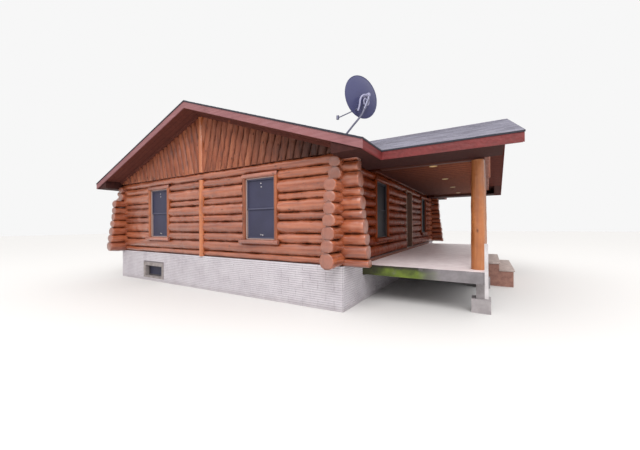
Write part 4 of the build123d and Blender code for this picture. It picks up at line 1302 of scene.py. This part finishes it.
class CABIN_OT_door(bpy.types.Operator):
    """Dress the entrance door's leaf with mouldings and knobs, and its frame with casing"""

    bl_idname = "cabin.door"
    bl_label = "Door"

    def execute(self, context):
        stain = ("#3A1C16", "#552B20", "#663728")
        set_cad(log_wood("Stained door", "Z", stain, 0.5, 0.0), "front_door")
        set_cad(plain("Tan door frame", "#75584A", 0.6), "door_frame")
        at = WALLS["porch"]
        back = X_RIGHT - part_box("door_frame")[0].x - 0.012
        leaf = back - LEAF_T
        left, right = DOOR_NEAR + LEAF_GAP, DOOR_FAR - LEAF_GAP
        middle = (left + right) / 2
        mouldings = []
        half = MIDDLE_STILE / 2
        for a, b in ((left + STILE, middle - half), (middle + half, right - STILE)):
            for c, d in PANEL_SPANS:
                mouldings += panel(a, b, c, d, leaf, 1) + panel(a, b, c, d, back, -1)
        trim = place(join(mouldings, "door_panel_mouldings"), at)
        paint = plain("Door mouldings", "#5E3226", 0.5)
        finish_piece(trim, paint, "door_paint", body="front_door")
        knob = left + KNOB_IN
        parts = [
            pole((knob, start, KNOB_Z), (knob, end, KNOB_Z), radius, 28, 0.003)
            for start, end, radius in (
                (leaf - 0.006, leaf + 0.001, ROSE_R), (leaf - 0.058, leaf - 0.022, KNOB_R),
                (back - 0.001, back + 0.006, ROSE_R), (back + 0.022, back + 0.058, KNOB_R),
            )
        ]
        handle = place(smooth(join(parts, "door_knobs")), at)
        nickel = plain("Brushed nickel", "#C8C2BC", 0.3, 0.9)
        finish_piece(handle, nickel, "galvanised", body="front_door")
        edge = [
            box((a, -0.026, low), (b, -0.018, DOOR_TOP), 0.002) for a, b, low in (
                (DOOR_NEAR, DOOR_NEAR + CASING, 0.0), (DOOR_FAR - CASING, DOOR_FAR, 0.0),
                (DOOR_NEAR, DOOR_FAR, DOOR_TOP - CASING),
            )
        ]
        casing = place(join(edge, "door_casing"), at)
        finish_piece(casing, plain("Pale door casing", "#A08070", 0.5), "door_trim")
        low, high = (DOOR_NEAR + CASING, -0.018, 0.019), (DOOR_FAR - CASING, back, 0.0225)
        plate = place(box(low, high, 0.001), at)
        plate.name = "door_threshold_plate"
        finish_piece(plate, plain("Threshold aluminium", "#9A9898", 0.35, 0.8), "door_trim")
        return {"FINISHED"}


# Dish

class CABIN_OT_dish(bpy.types.Operator):
    """Build the smooth dish, its back bracket, its mast and its feed arm"""

    bl_idname = "cabin.dish"
    bl_label = "Dish"

    def execute(self, context):
        across = DISH_FACING.cross(Vector((0, 0, 1))).normalized()
        upward = across.cross(DISH_FACING).normalized()
        shell = Matrix((across, upward, DISH_FACING)).transposed().to_4x4()
        shell.translation = DISH_CENTRE

        def behind(side, down, back):
            return shell @ Vector((-side, -down, -back))

        self.reflector(shell)
        steel = plain("Galvanised steel", "#77778A", 0.4, 0.6)
        hub = behind(0.0, 0.0, 0.12) - Vector((0, 0, 0.09))
        elbow = hub + Vector((-0.095, -0.057, -0.28))
        straight = [MAST_FOOT.lerp(elbow, share) for share in (0, 0.5, 0.9)]
        mast = tube((*straight, elbow.lerp(hub, 0.25), hub), 0.019)
        low, high = elbow.lerp(hub, 0.3), elbow.lerp(hub, 0.7)
        collar = tube((low, high, hub, behind(0.0, 0.02, 0.11)), 0.027)
        on_roof = spot(*MAST_FOOT) @ Matrix.Rotation(math.atan(SLOPE), 4, "Y")
        plate = place(box((-0.09, -0.09, 0), (0.09, 0.09, 0.008), 0.002), on_roof)
        bolts = [
            place(pole((x, y, 0.004), (x, y, 0.017), 0.008, 6), on_roof)
            for x in (-0.065, 0.065) for y in (-0.065, 0.065)
        ]
        post = smooth(join([mast, collar, plate, *bolts], "dish_bent_mast"))
        finish_piece(post, steel, "galvanised", "dish_mast")
        strap = tube([behind(*point) for point in DISH_STRAP], 0.017)
        inner = tube([behind(*point) for point in DISH_CLAMP], 0.012)
        boss = pole(behind(0.0, 0.02, 0.15), behind(0.0, 0.02, 0.0), 0.036, 20, 0.006)
        nuts = [
            pole(behind(side, down, 0.112), behind(side, down, 0.08), 0.013, 6)
            for side, down in DISH_NUTS
        ]
        bracket = smooth(join([strap, inner, boss, *nuts], "dish_back_bracket"))
        finish_piece(bracket, plain("Pale cast bracket", "#8C8BA4", 0.5), "galvanised")
        set_cad(steel, "dish_feed_arm")
        return {"FINISHED"}

    def reflector(self, shell):
        """A cap of a sphere with a rolled rim, a little wider than tall."""
        bpy.ops.mesh.primitive_uv_sphere_add(segments=72, ring_count=120, radius=DISH_CURVE)
        cap = bpy.context.object
        deep = DISH_TALL ** 2 / 8 / DISH_CURVE
        cut(cap, ((0, 0, deep - DISH_CURVE), (0, 0, 1)), fill=False)
        place(cap, spot(0, 0, DISH_CURVE))
        modify(cap, "SOLIDIFY", thickness=0.006)
        rim = ring((0, 0, deep), DISH_TALL / 2 - 0.004, 0.006, 72)
        dish = join([cap, rim], "dish_shell")
        smooth(place(dish, shell @ Matrix.Diagonal((DISH_W / DISH_TALL, 1, 1, 1))), 50)
        paint = plain("Weathered dish paint", "#35365C", 0.42)
        finish_piece(dish, paint, "dish_paint", "dish_reflector")


# Stage

# Each lamp's name, place, size, power in watts and tint
LAMPS = (
    ("High front softbox", (8, -17, 15), 11, 2300, WHITE),
    ("Porch side fill", (20, -8, 9), 10, 300, "#F2F4FF"),
)


def look_from():
    """The photograph's place, direction and tilt, found from the cabin's own edges."""
    yaw, pitch, roll = (math.radians(angle) for angle in CAMERA_TURN)
    level = Vector((math.cos(yaw), -math.sin(yaw), 0))
    ahead = Vector((math.sin(yaw), math.cos(yaw), 0))
    forward = math.cos(pitch) * ahead + Vector((0, 0, math.sin(pitch)))
    upright_way = level.cross(forward)
    right = math.cos(roll) * level + math.sin(roll) * upright_way
    up = -math.sin(roll) * level + math.cos(roll) * upright_way
    matrix = Matrix((right, up, -forward)).transposed().to_4x4()
    matrix.translation = CAMERA_AT
    return matrix


class CABIN_OT_stage(bpy.types.Operator):
    """Add the plain floor, the soft light, the white surroundings and the camera"""

    bl_idname = "cabin.stage"
    bl_label = "Stage"

    def execute(self, context):
        scene = context.scene
        bpy.ops.mesh.primitive_plane_add(size=160, location=(0, 0, 0))
        floor = context.object
        floor.name = "studio_floor"
        floor.data.materials.append(plain("Studio floor", "#D6D4D2", 0.9))
        world = bpy.data.worlds.new("Soft white surroundings")
        world.use_nodes = True
        add = partial(node, world.node_tree)
        up = add("SeparateXYZ", "Z", Vector=add("TexCoord", "Generated"))
        up = add("Math", at=(up, 0.0), operation="MAXIMUM")
        sky = add("Math", at=(up, SKY_RISE, SKY_LOW), operation="MULTIPLY_ADD")
        seen = add("LightPath", "Is Camera Ray")
        strength = add("Mix", Factor=seen, A=sky, B=SKY_SEEN)
        fill(world.node_tree.nodes["Background"], {"Color": WHITE, "Strength": strength})
        scene.world = world
        for name, at, size, power, tint in LAMPS:
            bpy.ops.object.light_add(type="AREA", location=at)
            lamp = context.object
            lamp.name = name
            lamp.data.size = size
            lamp.data.energy = power
            lamp.data.color = hex_colour(tint)[:3]
            way = Vector((0, 0, 2)) - Vector(at)
            lamp.rotation_euler = way.to_track_quat("-Z", "Y").to_euler()
        camera_data = bpy.data.cameras.new("Photograph camera")
        camera = bpy.data.objects.new("Photograph camera", camera_data)
        scene.collection.objects.link(camera)
        camera.matrix_world = look_from()
        camera_data.sensor_width = SENSOR_W
        camera_data.lens = FOCAL_PX / PHOTO_W_PX * SENSOR_W
        camera_data.clip_end = 500
        camera_data.dof.use_dof = False
        scene.camera = camera
        scene.view_settings.view_transform = "Standard"
        return {"FINISHED"}


class CABIN_PT_panel(bpy.types.Panel):
    """The cabin's builders in the sidebar"""

    bl_label = "Log cabin"
    bl_idname = "CABIN_PT_panel"
    bl_space_type = "VIEW_3D"
    bl_region_type = "UI"
    bl_category = "Log cabin"

    def draw(self, context):
        column = self.layout.column()
        column.prop(context.scene.cabin_logs, "relief")
        column.prop(context.scene.cabin_logs, "seed")
        for operator in OPERATORS:
            column.operator(operator.bl_idname)


OPERATORS = (
    CABIN_OT_log_walls, CABIN_OT_gables, CABIN_OT_windows, CABIN_OT_foundation, CABIN_OT_roof,
    CABIN_OT_porch, CABIN_OT_door, CABIN_OT_dish, CABIN_OT_stage,
)
CLASSES = (CabinLogSettings, *OPERATORS, CABIN_PT_panel)


def register():
    for one in CLASSES:
        bpy.utils.register_class(one)
    bpy.types.Scene.cabin_logs = bpy.props.PointerProperty(type=CabinLogSettings)


def unregister():
    del bpy.types.Scene.cabin_logs
    for one in reversed(CLASSES):
        bpy.utils.unregister_class(one)


def main():
    register()
    bpy.ops.cabin.log_walls()
    bpy.ops.cabin.gables()
    bpy.ops.cabin.windows()
    bpy.ops.cabin.foundation()
    bpy.ops.cabin.roof()
    bpy.ops.cabin.porch()
    bpy.ops.cabin.door()
    bpy.ops.cabin.dish()
    bpy.ops.cabin.stage()
    bpy.context.view_layer.update()


if __name__ == "__main__":
    main()
